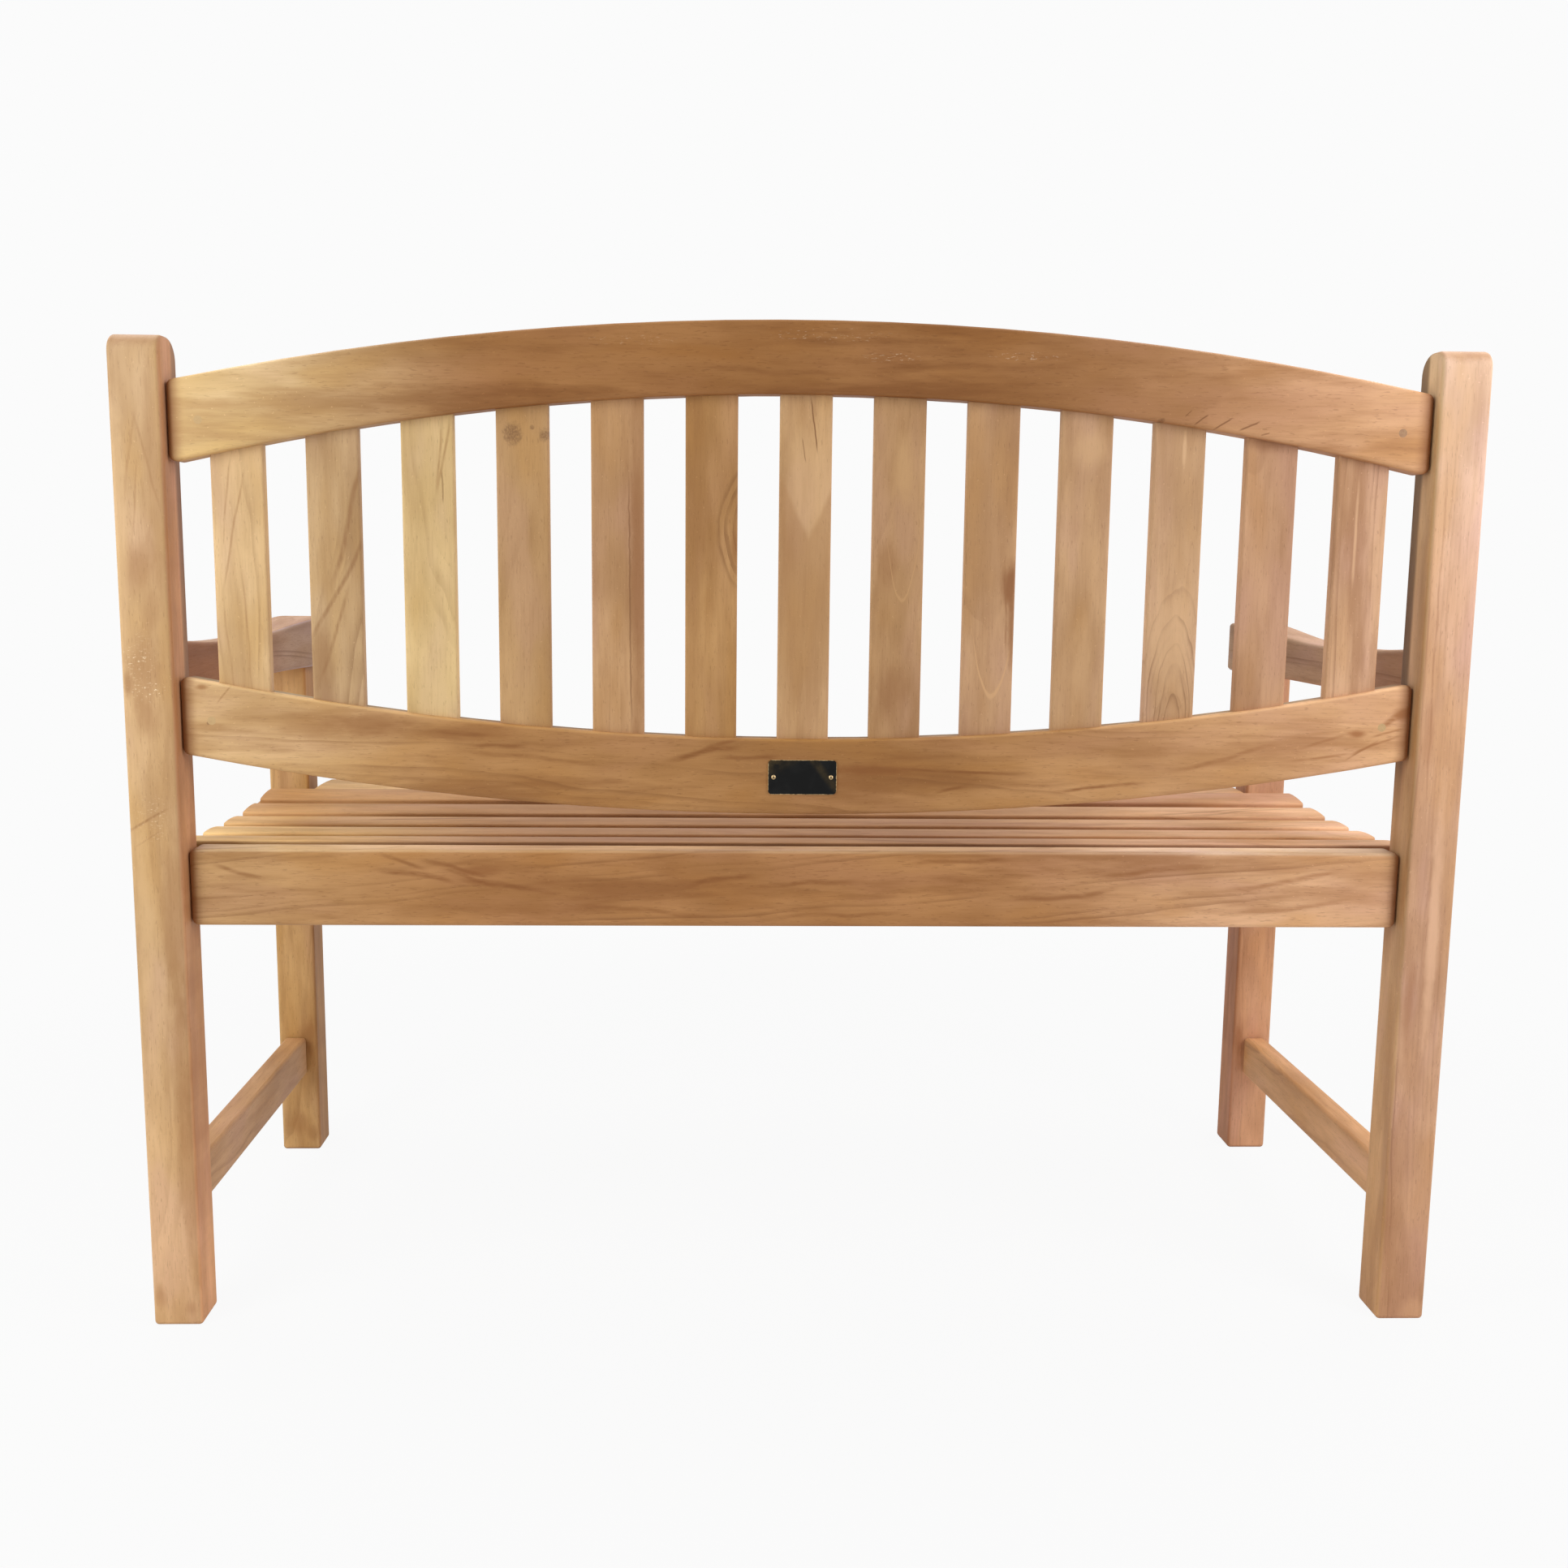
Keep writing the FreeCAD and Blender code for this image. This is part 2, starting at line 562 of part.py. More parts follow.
# Seat slats with crowned tops and rounded upper edges
def crowned_board(x0, x1, width):
    shoulder = SEAT_SLAT_THICK - SEAT_SLAT_CROWN
    wire = Part.Wire([
        Part.makeLine(Vector(x0, 0, 0), Vector(x0, width, 0)),
        Part.makeLine(Vector(x0, width, 0), Vector(x0, width, shoulder)),
        Part.Arc(Vector(x0, width, shoulder), Vector(x0, width / 2, SEAT_SLAT_THICK),
                 Vector(x0, 0, shoulder)).toShape(),
        Part.makeLine(Vector(x0, 0, shoulder), Vector(x0, 0, 0)),
    ])
    return Part.Face(wire).extrude(Vector(x1 - x0, 0, 0))


def rounded_board(x0, x1, width):
    board = crowned_board(x0, x1, width)
    upper = [e for e in long_edges(board, Vector(1, 0, 0)) if e.BoundBox.ZMin > 1]
    return board.makeFillet(SEAT_SLAT_TOP_ROUND, upper)


def seat_slat(bay):
    board = rounded_board(-SEAT_SLAT_END, SEAT_SLAT_END, SEAT_SLAT_WIDTH)
    fall = BED_HEIGHTS[bay] - BED_HEIGHTS[bay + 1]
    middle = BED_START + (bay + 0.5) * SEAT_BAY
    board.translate(Vector(0, -SEAT_SLAT_WIDTH / 2, 0))
    board.rotate(Vector(0, 0, 0), Vector(1, 0, 0), math.degrees(math.atan2(fall, SEAT_BAY)))
    board.translate(at(0, middle, bed_height(middle)))
    holes = [screw(x, f) for x, f in screw_places() if abs(f - middle) < 1]
    return board.cut(holes)


def front_seat_slat():
    half = CLEAR - FRONT_SLAT_LEG_GAP
    width = FRONT_LEG_FRONT - FRONT_SLAT_START
    board = crowned_board(-half, half, width)
    board = rounded_along(board, Vector(0, 0, 1), FRONT_SLAT_CORNER)
    rim = [e for e in board.Edges if e.BoundBox.ZMin > 1 and e.BoundBox.ZMax > SEAT_SLAT_THICK - SEAT_SLAT_CROWN]
    rim = [e for e in rim if e.BoundBox.ZLength < SEAT_SLAT_CROWN + 0.5]
    board = board.makeFillet(SEAT_SLAT_TOP_ROUND, rim)
    board.translate(at(0, FRONT_LEG_FRONT, FRONT_BED))
    holes = [screw(x, f) for x, f in screw_places() if f > FRONT_SLAT_START]
    return board.cut(holes)


# Bare name plate on the lower back rail, held by two domed pins
PLATE_Z = (LOW_RAIL_TOP + LOW_RAIL_BOTTOM) / 2


def pin_shank(side):
    return Part.makeCylinder(PIN_SHANK / 2, PIN_DEPTH + PLATE_THICK,
                             at(side * PIN_SPREAD, LOW_RAIL_SETBACK - PLATE_THICK, PLATE_Z), Vector(0, -1, 0))


def name_plate():
    plate = block(-PLATE_WIDTH / 2, PLATE_WIDTH / 2, LOW_RAIL_SETBACK - PLATE_THICK, LOW_RAIL_SETBACK,
                  PLATE_Z - PLATE_HEIGHT / 2, PLATE_Z + PLATE_HEIGHT / 2)
    plate = rounded_along(plate, Vector(0, 1, 0), PLATE_CORNER)
    return plate.cut([pin_shank(-1), pin_shank(1)])


def plate_pin(side):
    start = at(side * PIN_SPREAD, LOW_RAIL_SETBACK - PLATE_THICK, PLATE_Z)
    radius = (PIN_HEAD ** 2 / 4 + PIN_HEAD_HEIGHT ** 2) / (2 * PIN_HEAD_HEIGHT)
    ball = Part.makeSphere(radius, start + Vector(0, PIN_HEAD_HEIGHT - radius, 0))
    room = Part.makeCylinder(PIN_HEAD, PIN_HEAD_HEIGHT * 2, start, Vector(0, 1, 0))
    return joined(ball.common(room), pin_shank(side))


def plate_pins():
    return Part.makeCompound([plate_pin(-1), plate_pin(1)])


def build():
    nodes = {
        "top_back_rail": top_back_rail(),
        "lower_back_rail": lower_back_rail(),
        "back_rail_tenons": loose_tenons(),
        "back_rail_pegs": back_rail_pegs(),
        "rear_seat_rail": rear_seat_rail(),
        "front_seat_rail": front_seat_rail(),
        "centre_seat_bearer": centre_seat_bearer(),
        "seat_slat_screws": seat_slat_screws(),
        "name_plate": name_plate(),
        "plate_pins": plate_pins(),
    }
    for name, maker in (("rear_leg", rear_leg), ("front_leg", front_leg), ("armrest", armrest),
                        ("side_seat_rail", side_seat_rail), ("side_stretcher", side_stretcher)):
        shape = maker()
        nodes[name + "_left"] = shape
        nodes[name + "_right"] = mirrored(shape)
    for number, x in enumerate(SLAT_PLACES, 1):
        nodes["back_slat_%02d" % number] = back_slat(x)
    for bay in range(SEAT_BAYS):
        nodes["seat_slat_%d" % (bay + 1)] = seat_slat(bay)
    nodes["seat_slat_%d" % (SEAT_BAYS + 1)] = front_seat_slat()
    return nodes


os.makedirs("parts", exist_ok=True)
for node, shape in build().items():
    shape.exportStep("parts/%s.step" % node)
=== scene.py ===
import bpy
import math
from mathutils import Matrix, Vector


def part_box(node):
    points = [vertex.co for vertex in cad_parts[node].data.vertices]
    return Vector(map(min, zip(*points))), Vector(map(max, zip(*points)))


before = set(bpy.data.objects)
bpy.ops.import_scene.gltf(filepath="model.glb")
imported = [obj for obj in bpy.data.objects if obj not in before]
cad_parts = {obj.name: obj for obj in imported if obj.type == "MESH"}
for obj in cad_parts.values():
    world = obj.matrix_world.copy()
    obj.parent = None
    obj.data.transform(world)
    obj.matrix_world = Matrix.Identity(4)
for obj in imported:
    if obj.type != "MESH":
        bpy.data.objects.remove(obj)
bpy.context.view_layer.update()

# Bench sizes in metres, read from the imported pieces
REAR_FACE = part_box("rear_leg_left")[1][1]
POST_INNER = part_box("rear_leg_left")[0][0]
SEAT_RAIL_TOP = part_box("rear_seat_rail")[1][2]
PLATE_LOW, PLATE_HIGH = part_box("name_plate")
PIN_LOW, PIN_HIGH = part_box("plate_pins")
PIN_RADIUS = (PIN_HIGH[2] - PIN_LOW[2]) / 2


class Lead:
    """One value running through a finish. Arithmetic on leads adds Math nodes."""

    def __init__(self, finish, socket):
        self.finish = finish
        self.socket = socket

    def calc(self, operation, *values):
        return self.finish.node("ShaderNodeMath", {"operation": operation}, dict(enumerate(values)))

    def __add__(self, other):
        return self.calc("ADD", self, other)

    def __radd__(self, other):
        return self.calc("ADD", other, self)

    def __sub__(self, other):
        return self.calc("SUBTRACT", self, other)

    def __rsub__(self, other):
        return self.calc("SUBTRACT", other, self)

    def __mul__(self, other):
        return self.calc("MULTIPLY", self, other)

    def __rmul__(self, other):
        return self.calc("MULTIPLY", other, self)

    def __truediv__(self, other):
        return self.calc("DIVIDE", self, other)

    def __rtruediv__(self, other):
        return self.calc("DIVIDE", other, self)

    def __pow__(self, other):
        return self.calc("POWER", self, other)

    def __abs__(self):
        return self.calc("ABSOLUTE", self)

    def sqrt(self):
        return self.calc("SQRT", self)

    def fract(self):
        return self.calc("FRACT", self)

    def least(self, other):
        return self.calc("MINIMUM", self, other)

    def most(self, other):
        return self.calc("MAXIMUM", self, other)

    def over(self, least):
        """Lift a share that runs from 0 to 1, so that it runs from least to 1."""
        return least + self * (1.0 - least)

    def ease(self, low, high):
        """Smooth step: 0 below low, 1 above high, or the other way round when low is the larger."""
        limits = {1: low, 2: high, 3: 0.0, 4: 1.0}
        if low > high:
            limits = {1: high, 2: low, 3: 1.0, 4: 0.0}
        settings = {"interpolation_type": "SMOOTHSTEP"}
        return self.finish.node("ShaderNodeMapRange", settings, {0: self, **limits})


class Finish:
    """The nodes of a material, or of the world: one shader, and the ways to feed it."""

    def __init__(self, owner, shader="Principled BSDF"):
        owner.use_nodes = True
        self.owner = owner
        self.tree = owner.node_tree
        self.shader = self.tree.nodes[shader]

    def node(self, kind, settings=None, inputs=None, out=0):
        """Any node: its type, its settings, which are set first, and the values or leads of its sockets.

        out is the output that comes back as a lead, or a tuple of them for a list of leads.
        """
        node = self.tree.nodes.new(kind)
        for key, value in (settings or {}).items():
            setattr(node, key, value)
        for key, value in (inputs or {}).items():
            self.plug(node.inputs[key], value)
        if isinstance(out, tuple):
            return [Lead(self, node.outputs[key]) for key in out]
        return Lead(self, node.outputs[out])

    def plug(self, socket, value):
        """Link a lead to a socket, or set the socket to a number or a colour."""
        if isinstance(value, Lead):
            self.tree.links.new(value.socket, socket)
        elif isinstance(value, tuple) and len(value) == 3 and socket.type == "RGBA":
            socket.default_value = (*value, 1.0)
        else:
            socket.default_value = value

    def feed(self, sockets):
        """Link or set the shader's own sockets, given by name."""
        for name, value in sockets.items():
            self.plug(self.shader.inputs[name], value)

    def split(self, vector):
        return self.node("ShaderNodeSeparateXYZ", None, {0: vector}, out=(0, 1, 2))

    def place(self):
        """Object coordinates as three leads x, y and z."""
        return self.split(self.node("ShaderNodeTexCoord", out="Object"))

    def facing(self):
        """The surface normal's three parts in the piece's own axes."""
        return self.split(self.node("ShaderNodeTexCoord", out="Normal"))

    def seen(self):
        """1 for rays from the camera and for those that gloss and glass send on, 0 for all other light."""
        rays = ("Is Camera Ray", "Is Glossy Ray", "Is Transmission Ray")
        camera, gloss, glass = self.node("ShaderNodeLightPath", out=rays)
        return camera.most(gloss).most(glass)

    def vector(self, x, y, z):
        return self.node("ShaderNodeCombineXYZ", None, {0: x, 1: y, 2: z})

    def noise(self, where, scale, detail=2.0, rough=0.5):
        return self.node("ShaderNodeTexNoise", None,
                         {"Vector": where, "Scale": scale, "Detail": detail, "Roughness": rough})

    def wander(self, x, y, z, detail=2.0, rough=0.5):
        """Noise at a spot that is already scaled, one wave to the unit."""
        return self.noise(self.vector(x, y, z), 1.0, detail, rough)

    def mottle(self, waves, across, along, depth):
        """Noise over a board's face, with its waves as they are listed below, cut at a depth of its own."""
        wide, long, detail, rough = waves
        return self.wander(across * wide, along * long, depth, detail, rough)

    def blend(self, share, first, second, how="MIX"):
        """Mix two colours by share, from 0 for the first to 1 for the second."""
        return self.node("ShaderNodeMix", {"data_type": "RGBA", "blend_type": how, "clamp_factor": True},
                         {0: share, 6: first, 7: second}, out=2)

    def bump(self, height, strength, reach):
        """Normals tilted by a height, at most reach metres deep."""
        return self.node("ShaderNodeBump", None, {"Strength": strength, "Distance": reach, "Height": height})


# Tones of planed teak
HONEY = (0.50, 0.270, 0.098)
SAND = (0.53, 0.300, 0.145)
FAWN = (0.50, 0.300, 0.190)
END_GRAIN = (0.26, 0.090, 0.028)
RUBBED_OFF = (0.86, 0.66, 0.44)

# Tints of the layers in the wood, as shares of a board's own tone
DULL = (0.82, 0.76, 0.69)
PINKER = (1.02, 0.99, 1.24)
YELLOWER = (0.96, 0.86, 0.62)
BROWN_STREAK = (0.62, 0.50, 0.40)
LATE_WOOD = (0.48, 0.37, 0.30)
DARK_FIBRE = (0.60, 0.50, 0.42)
OPEN_PORE = (0.44, 0.35, 0.29)
PALE_SPECK = (1.35, 1.38, 1.45)

# Tints of the marks on a board, as shares of its tone
KNOT_WOOD = (0.40, 0.33, 0.32)
CRACK_DARK = (0.40, 0.30, 0.24)
VEIN_BROWN = (0.56, 0.42, 0.32)
STAIN_BROWN = (0.58, 0.43, 0.33)
BLOOM_PALE = (1.20, 1.22, 1.22)
EYE_DARK = (0.42, 0.32, 0.26)
VEE_BROWN = (0.74, 0.62, 0.52)
BOW_PALE = (1.22, 1.22, 1.18)

# Specular level of bare wood
WOOD_GLOSS = 0.28

# Noise in the wood: waves to the metre across and along the grain, detail, roughness
SWAY = (12.0, 3.6, 2.0, 0.5)
RIPPLE = (70.0, 17.0, 1.0, 0.5)
FADE = (26.0, 6.5, 2.0, 0.5)
CLOUD = (16.0, 5.0, 3.0, 0.6)
HUE = (26.0, 8.0, 2.0, 0.5)
STREAK = (38.0, 5.0, 4.0, 0.60)
FIBRE = (640.0, 38.0, 3.0, 0.62)
PORE = (900.0, 130.0, 1.0, 0.5)
SPECK = (480.0, 380.0, 1.0, 0.5)

# Noise in the marks, listed the same way. Crumbs are rubbed into a post, dashes lie level on a rail
KNOT_RIM = (240.0, 240.0, 3.0, 0.6)
KNOT_GRAIN = (900.0, 520.0, 2.0, 0.6)
VEIN_WEAR = (320.0, 60.0, 2.0, 0.5)
PATCH_RIM = (75.0, 28.0, 3.0, 0.6)
EYE_SWAY = (40.0, 18.0, 2.0, 0.5)
EYE_WEAR = (70.0, 30.0, 2.0, 0.5)
VEE_SWAY = (55.0, 22.0, 2.0, 0.5)
BOW_SWAY = (60.0, 25.0, 2.0, 0.5)
SCUFF_RIM = (60.0, 60.0, 2.0, 0.5)
CRUMBS = (240.0, 560.0, 3.0, 0.7)
DASHES = (760.0, 150.0, 3.0, 0.7)

# How each kind of board lies: axes across the face, through the thickness, along the grain
UPRIGHT = (0, 1, 2)
ALONG_BACK = (2, 1, 0)
ALONG_SEAT = (1, 2, 0)
ALONG_SIDE = (2, 0, 1)
ALONG_ARM = (0, 2, 1)

# How squarely a face looks along an axis where its tint starts, and where it is full
SQUARE_ON = (0.25, 0.85)


def shade(tone, tint):
    """A tone with its red, green and blue each multiplied by the tint's."""
    return tuple(part * share for part, share in zip(tone, tint))


# Makers of marks: each gives the mark's share at a spot (across, along) of a board, and its colour.
# Where the mark lies also says where its noise is cut, so no two marks of a kind waver alike
def knot(finish, across, along, tone, side, up, size, dark):
    """A dark eye with a grained middle: full inside a third of its size, gone at its size."""
    ragged = finish.mottle(KNOT_RIM, across, along, side) - 0.5
    crumbs = finish.mottle(KNOT_GRAIN, across, along, up).ease(0.30, 0.62)
    gap = ((across - side) ** 2.0 + (along - up) ** 2.0 * 0.8).sqrt() + ragged * size * 1.1
    share = gap.ease(size, size * 0.35) * crumbs.over(0.35)
    return share * dark, shade(tone, KNOT_WOOD)


def crack(finish, across, along, tone, side, up, lean, reach, width, dark):
    """A thin line through (side, up) that leans across the grain, wavers and fades at both ends."""
    run = along - up
    tremble = finish.wander(along * 90.0, side * 50.0, 0.0, 1.0) - 0.5
    line = abs(across - side - run * lean + tremble * width * 1.6) / width
    share = line.ease(1.0, 0.25) * abs(run).ease(reach, reach * 0.55)
    return share * dark, shade(tone, CRACK_DARK)


def vein(finish, across, along, tone, side, up, lean, reach, width, dark):
    """A soft brown line through (side, up) that leans across the grain, bends slowly and fades out."""
    run = along - up
    bend = finish.wander(along * 16.0, side * 60.0, up * 9.0, 1.0) - 0.5
    worn = finish.mottle(VEIN_WEAR, across, along, up).ease(0.30, 0.62)
    line = abs(across - side - run * lean + bend * width * 4.0) / width
    share = line.ease(1.0, 0.1) * abs(run).ease(reach, reach * 0.4) * worn.over(0.5)
    return share * dark, shade(tone, VEIN_BROWN)


def oval(across, along, side, up, half_width, half_length):
    """Distance from the middle of an ellipse at (side, up): 0 there and 1 on its rim."""
    return (((across - side) / half_width) ** 2.0 + ((along - up) / half_length) ** 2.0).sqrt()


def patch(finish, across, along, side, up, half_width, half_length):
    """Share of a soft ellipse with a noisy rim."""
    cloudy = finish.mottle(PATCH_RIM, across, along, side) - 0.5
    gap = oval(across, along, side, up, half_width, half_length) + cloudy * 1.1
    return gap.ease(1.15, 0.2)


def stain(finish, across, along, tone, side, up, half_width, half_length, dark):
    """A soft reddish-brown patch."""
    share = patch(finish, across, along, side, up, half_width, half_length)
    return share * dark, shade(tone, STAIN_BROWN)


def bloom(finish, across, along, tone, side, up, half_width, half_length, strength):
    """A soft pale patch."""
    share = patch(finish, across, along, side, up, half_width, half_length)
    return share * strength, shade(tone, BLOOM_PALE)


def eye(finish, across, along, tone, side, up, size, stretch, dark):
    """Nested dark lines round a knot: ellipses stretched along the grain, spaced by a fifth of the size."""
    sway = finish.mottle(EYE_SWAY, across, along, side) - 0.5
    gap = ((across - side) ** 2.0 + ((along - up) / stretch) ** 2.0).sqrt() / size + sway * 0.30
    uneven = finish.wander(gap * 6.0, side * 90.0, up * 30.0, 1.0) - 0.5
    line = (gap * 5.0 + uneven * 1.6).fract()
    worn = finish.mottle(EYE_WEAR, across, along, up).ease(0.30, 0.60)
    share = line.ease(0.55, 0.95) * line.ease(1.0, 0.93) * gap.ease(1.06, 0.94) * worn.over(0.4)
    return share * dark, shade(tone, EYE_DARK)


def vee(finish, across, along, tone, side, tip, slope, dark):
    """Browner wood under a V whose tip lies at (side, tip) and whose arms climb by slope."""
    sway = finish.mottle(VEE_SWAY, across, along, tip) - 0.5
    depth = along - tip - abs(across - side) * slope + sway * 0.010
    fade = along.ease(tip - 0.16, tip - 0.02)
    share = depth.ease(0.006, -0.006) * fade.over(0.45)
    return share * dark, shade(tone, VEE_BROWN)


def bow(finish, across, along, tone, side, tip, bend, width, strength):
    """A pale curved line, lowest at (side, tip) and climbing as the square of the distance from there."""
    sway = finish.mottle(BOW_SWAY, across, along, tip) - 0.5
    line = abs(along - tip - (across - side) ** 2.0 * bend + sway * width * 2.5) / width
    share = line.ease(1.0, 0.2) * along.ease(tip + 0.09, tip + 0.02)
    return share * strength, shade(tone, BOW_PALE)


def scuff(finish, across, along, tone, side, up, half_width, half_length, waves, strength):
    """Rubbed spot: pale crumbs or short dashes inside a noisy ellipse. waves is their noise."""
    cloudy = finish.mottle(SCUFF_RIM, across, along, side) - 0.5
    gap = oval(across, along, side, up, half_width, half_length) + cloudy
    crumbs = finish.mottle(waves, across, along, side).ease(0.58, 0.68)
    return gap.ease(1.0, 0.4) * crumbs * strength, RUBBED_OFF


def teak(name, tone, lie, heart, drift, rings=240.0, figure=0.6, streak=0.5, warp=0.006, seed=0.0,
         tips=None, span=None, painted_flanks=(), end_dark=0.62, end_dirt_and_shade=0.0, marks=(), painted_strips=()):
    """Planed teak cut from a log.

    Growth rings are circles round the log's heart: the radius is the distance of a point from the heart
    line, which lies heart metres off the board's middle (across, through) and drifts by drift metres per
    metre of length. Slow noise sways the radius. The fraction left after counting rings gives early and
    late wood, and noise along the count makes some rings dark and leaves most of them faint. Noise drawn
    out along the grain gives brown streaks, fibres and pores.

    tips are tints towards the low and the high end of the length, partly the wood's own tone and partly
    painted light and sheen, and span is the stretch of length that has figure. painted_flanks are tints of
    the faces that look along an axis, one way or the other: painted light and shade. painted_strips are
    strips of such faces with painted light and shade: the axis and the way, then for each limit of the
    strip its axis, the place where the tint starts and the place where it is full, and the tint.
    end_dirt_and_shade is the length beside the posts darkened towards end grain, partly dirt in the joint
    and partly painted shade. marks are rows of a maker and its sizes.
    """
    low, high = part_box(name)
    finish = Finish(bpy.data.materials.new("teak_" + name))
    xyz = finish.place()
    middle = [(a + b) / 2 for a, b in zip(low, high)]
    across, through, along = [xyz[i] - middle[i] for i in lie]
    facing = finish.facing()

    def drawn(waves, sideways=0.0, onward=0.0):
        """Noise drawn out along the grain, shifted sideways and onward."""
        fine, slow, detail, rough = waves
        return finish.wander(across * fine + sideways, through * fine, along * slow + onward, detail, rough)

    sway = drawn(SWAY, seed, seed) - 0.5
    ripple = drawn(RIPPLE, seed) - 0.5
    shift = sway * (warp * 4.0) + ripple * (warp * 0.45)
    aside = across - heart[0] - along * drift[0] + shift
    below = through - heart[1] - along * drift[1] + shift
    count = (aside * aside + below * below).sqrt() * rings
    tooth = count.fract()
    strong = finish.node("ShaderNodeTexNoise", {"noise_dimensions": "1D"},
                         {"W": count * 0.43 + seed * 7.0, "Scale": 1.0, "Detail": 1.0})
    late = tooth.ease(0.25, 0.92) * tooth.ease(1.0, 0.93)
    late = late * strong.ease(0.44, 0.72) * drawn(FADE, -seed).ease(0.34, 0.66)
    if span:
        late = late * along.ease(*span)

    cloud = drawn(CLOUD, seed, -seed)
    hue = drawn(HUE, -seed, seed)
    brown = drawn(STREAK, seed)
    fibre = drawn(FIBRE, 0.0, seed)
    pore = drawn(PORE).ease(0.62, 0.74)
    speck = drawn(SPECK).ease(0.70, 0.80)
    flat = abs(facing[0]).most(abs(facing[1])).most(abs(facing[2]))
    end = abs(facing[lie[2]]).ease(0.05, 0.75)
    rubbed = flat.ease(0.985, 0.80) * (1.0 - end)

    pale = tuple(min(1.0, part * 1.16 + 0.012) for part in tone)
    colour = finish.blend(cloud.ease(0.32, 0.68), shade(tone, DULL), pale)
    layers = [(hue.ease(0.48, 0.70) * 0.55, shade(tone, PINKER)),
              (hue.ease(0.50, 0.28) * 0.55, shade(tone, YELLOWER)),
              (brown.ease(0.45, 0.69) * streak, shade(tone, BROWN_STREAK)),
              (late * figure, shade(tone, LATE_WOOD)),
              (fibre.ease(0.45, 0.78) * 0.24, shade(tone, DARK_FIBRE)),
              (pore * 0.32, shade(tone, OPEN_PORE)),
              (speck * 0.30, shade(tone, PALE_SPECK))]
    layers += [maker(finish, across, along, tone, *sizes) for maker, *sizes in marks]
    # Eased edges are rubbed paler
    layers.append((rubbed * cloud.ease(0.30, 0.60) * 0.28, pale))
    for share, ink in layers:
        colour = finish.blend(share, colour, ink)

    reach = high[lie[2]] - middle[lie[2]]
    # Painted light and shade: tints by the way a face looks, tinted strips of faces, and the tints towards
    # both ends, which are partly the wood's own tone
    tints = [((facing[axis] * way).ease(*SQUARE_ON), tint) for axis, way, tint in painted_flanks]
    for axis, way, limits, tint in painted_strips:
        share = (facing[axis] * way).ease(*SQUARE_ON)
        for limit_axis, start, full in limits:
            share = share * xyz[limit_axis].ease(start, full)
        tints.append((share, tint))
    if tips:
        tints.append((along.ease(-reach * 0.20, -reach), tips[0]))
        tints.append((along.ease(reach * 0.45, reach * 1.05), tips[1]))
    for share, tint in tints:
        colour = finish.blend(share, colour, tint, "MULTIPLY")

    # Darker towards the ends: dark end grain, and beside the posts a band that is partly dirt in the joint
    # and partly painted shade
    if end_dirt_and_shade:
        end = end.most(abs(along).ease(POST_INNER - end_dirt_and_shade, POST_INNER - 0.002))
    colour = finish.blend(end * end_dark, colour, END_GRAIN)
    rough = 0.48 + fibre * 0.18 - rubbed * 0.06 + late * 0.06
    height = fibre * 0.5 - pore * 0.5 - late * 0.3
    finish.feed({"Base Color": colour, "Roughness": rough, "Specular IOR Level": WOOD_GLOSS,
                 "Normal": finish.bump(height, 0.22, 0.0004)})
    dress(name, finish)


def dress(name, finish):
    """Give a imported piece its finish."""
    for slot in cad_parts[name].material_slots:
        slot.material = finish.owner


# Legs
teak("rear_leg_left", (0.60, 0.375, 0.187), UPRIGHT, (0.05, -0.10), (0.02, 0.03), figure=0.25,
     streak=0.45, seed=1.0, end_dark=0.32,
     # The tints at both ends are partly the wood's own tone and partly painted light
     tips=((1.23, 1.20, 1.21), (0.98, 1.02, 1.14)),
     # Painted shade on the inner flank, a painted shadow of the back slats on its front strip between the
     # rails, and painted light on its lower part
     painted_flanks=[(0, -1.0, (1.02, 0.83, 0.80))],
     painted_strips=[(0, -1.0, [(1, REAR_FACE - 0.026, REAR_FACE - 0.034), (2, 0.46, 0.58)], (0.56, 0.58, 0.60)),
             (0, -1.0, [(2, 0.44, 0.36)], (1.20, 1.28, 1.28))],
     marks=[(vein, 0.007, 0.345, -0.18, 0.050, 0.0018, 0.40),
            (vein, -0.009, 0.340, 0.27, 0.052, 0.0018, 0.40),
            (vein, 0.004, 0.310, -0.12, 0.045, 0.0014, 0.40),
            (stain, 0.003, 0.160, 0.020, 0.045, 0.50),
            (stain, 0.002, 0.252, 0.020, 0.030, 0.55),
            (stain, -0.006, 0.215, 0.010, 0.020, 0.35),
            (scuff, 0.010, 0.174, 0.016, 0.010, CRUMBS, 0.95),
            (scuff, 0.004, 0.146, 0.024, 0.010, CRUMBS, 0.95),
            (scuff, 0.006, 0.160, 0.020, 0.045, CRUMBS, 0.40),
            (scuff, 0.002, 0.030, 0.018, 0.030, CRUMBS, 0.50),
            (vein, 0.004, 0.029, -1.7, 0.013, 0.0036, 0.8),
            (vein, 0.006, 0.012, -1.5, 0.009, 0.0024, 0.4),
            (stain, 0.016, -0.420, 0.007, 0.016, 0.55),
            (stain, -0.012, -0.432, 0.008, 0.008, 0.35),
            (bloom, 0.018, 0.320, 0.009, 0.130, 0.50),
            (stain, -0.015, 0.330, 0.010, 0.130, 0.30),
            (stain, 0.017, 0.150, 0.006, 0.014, 0.60),
            (stain, 0.002, 0.122, 0.013, 0.024, 0.45),
            (stain, -0.014, -0.070, 0.015, 0.110, 0.60),
            (stain, -0.017, -0.190, 0.013, 0.100, 0.50),
            (stain, -0.018, -0.310, 0.011, 0.120, 0.55),
            (bloom, 0.014, -0.050, 0.011, 0.090, 0.55)])
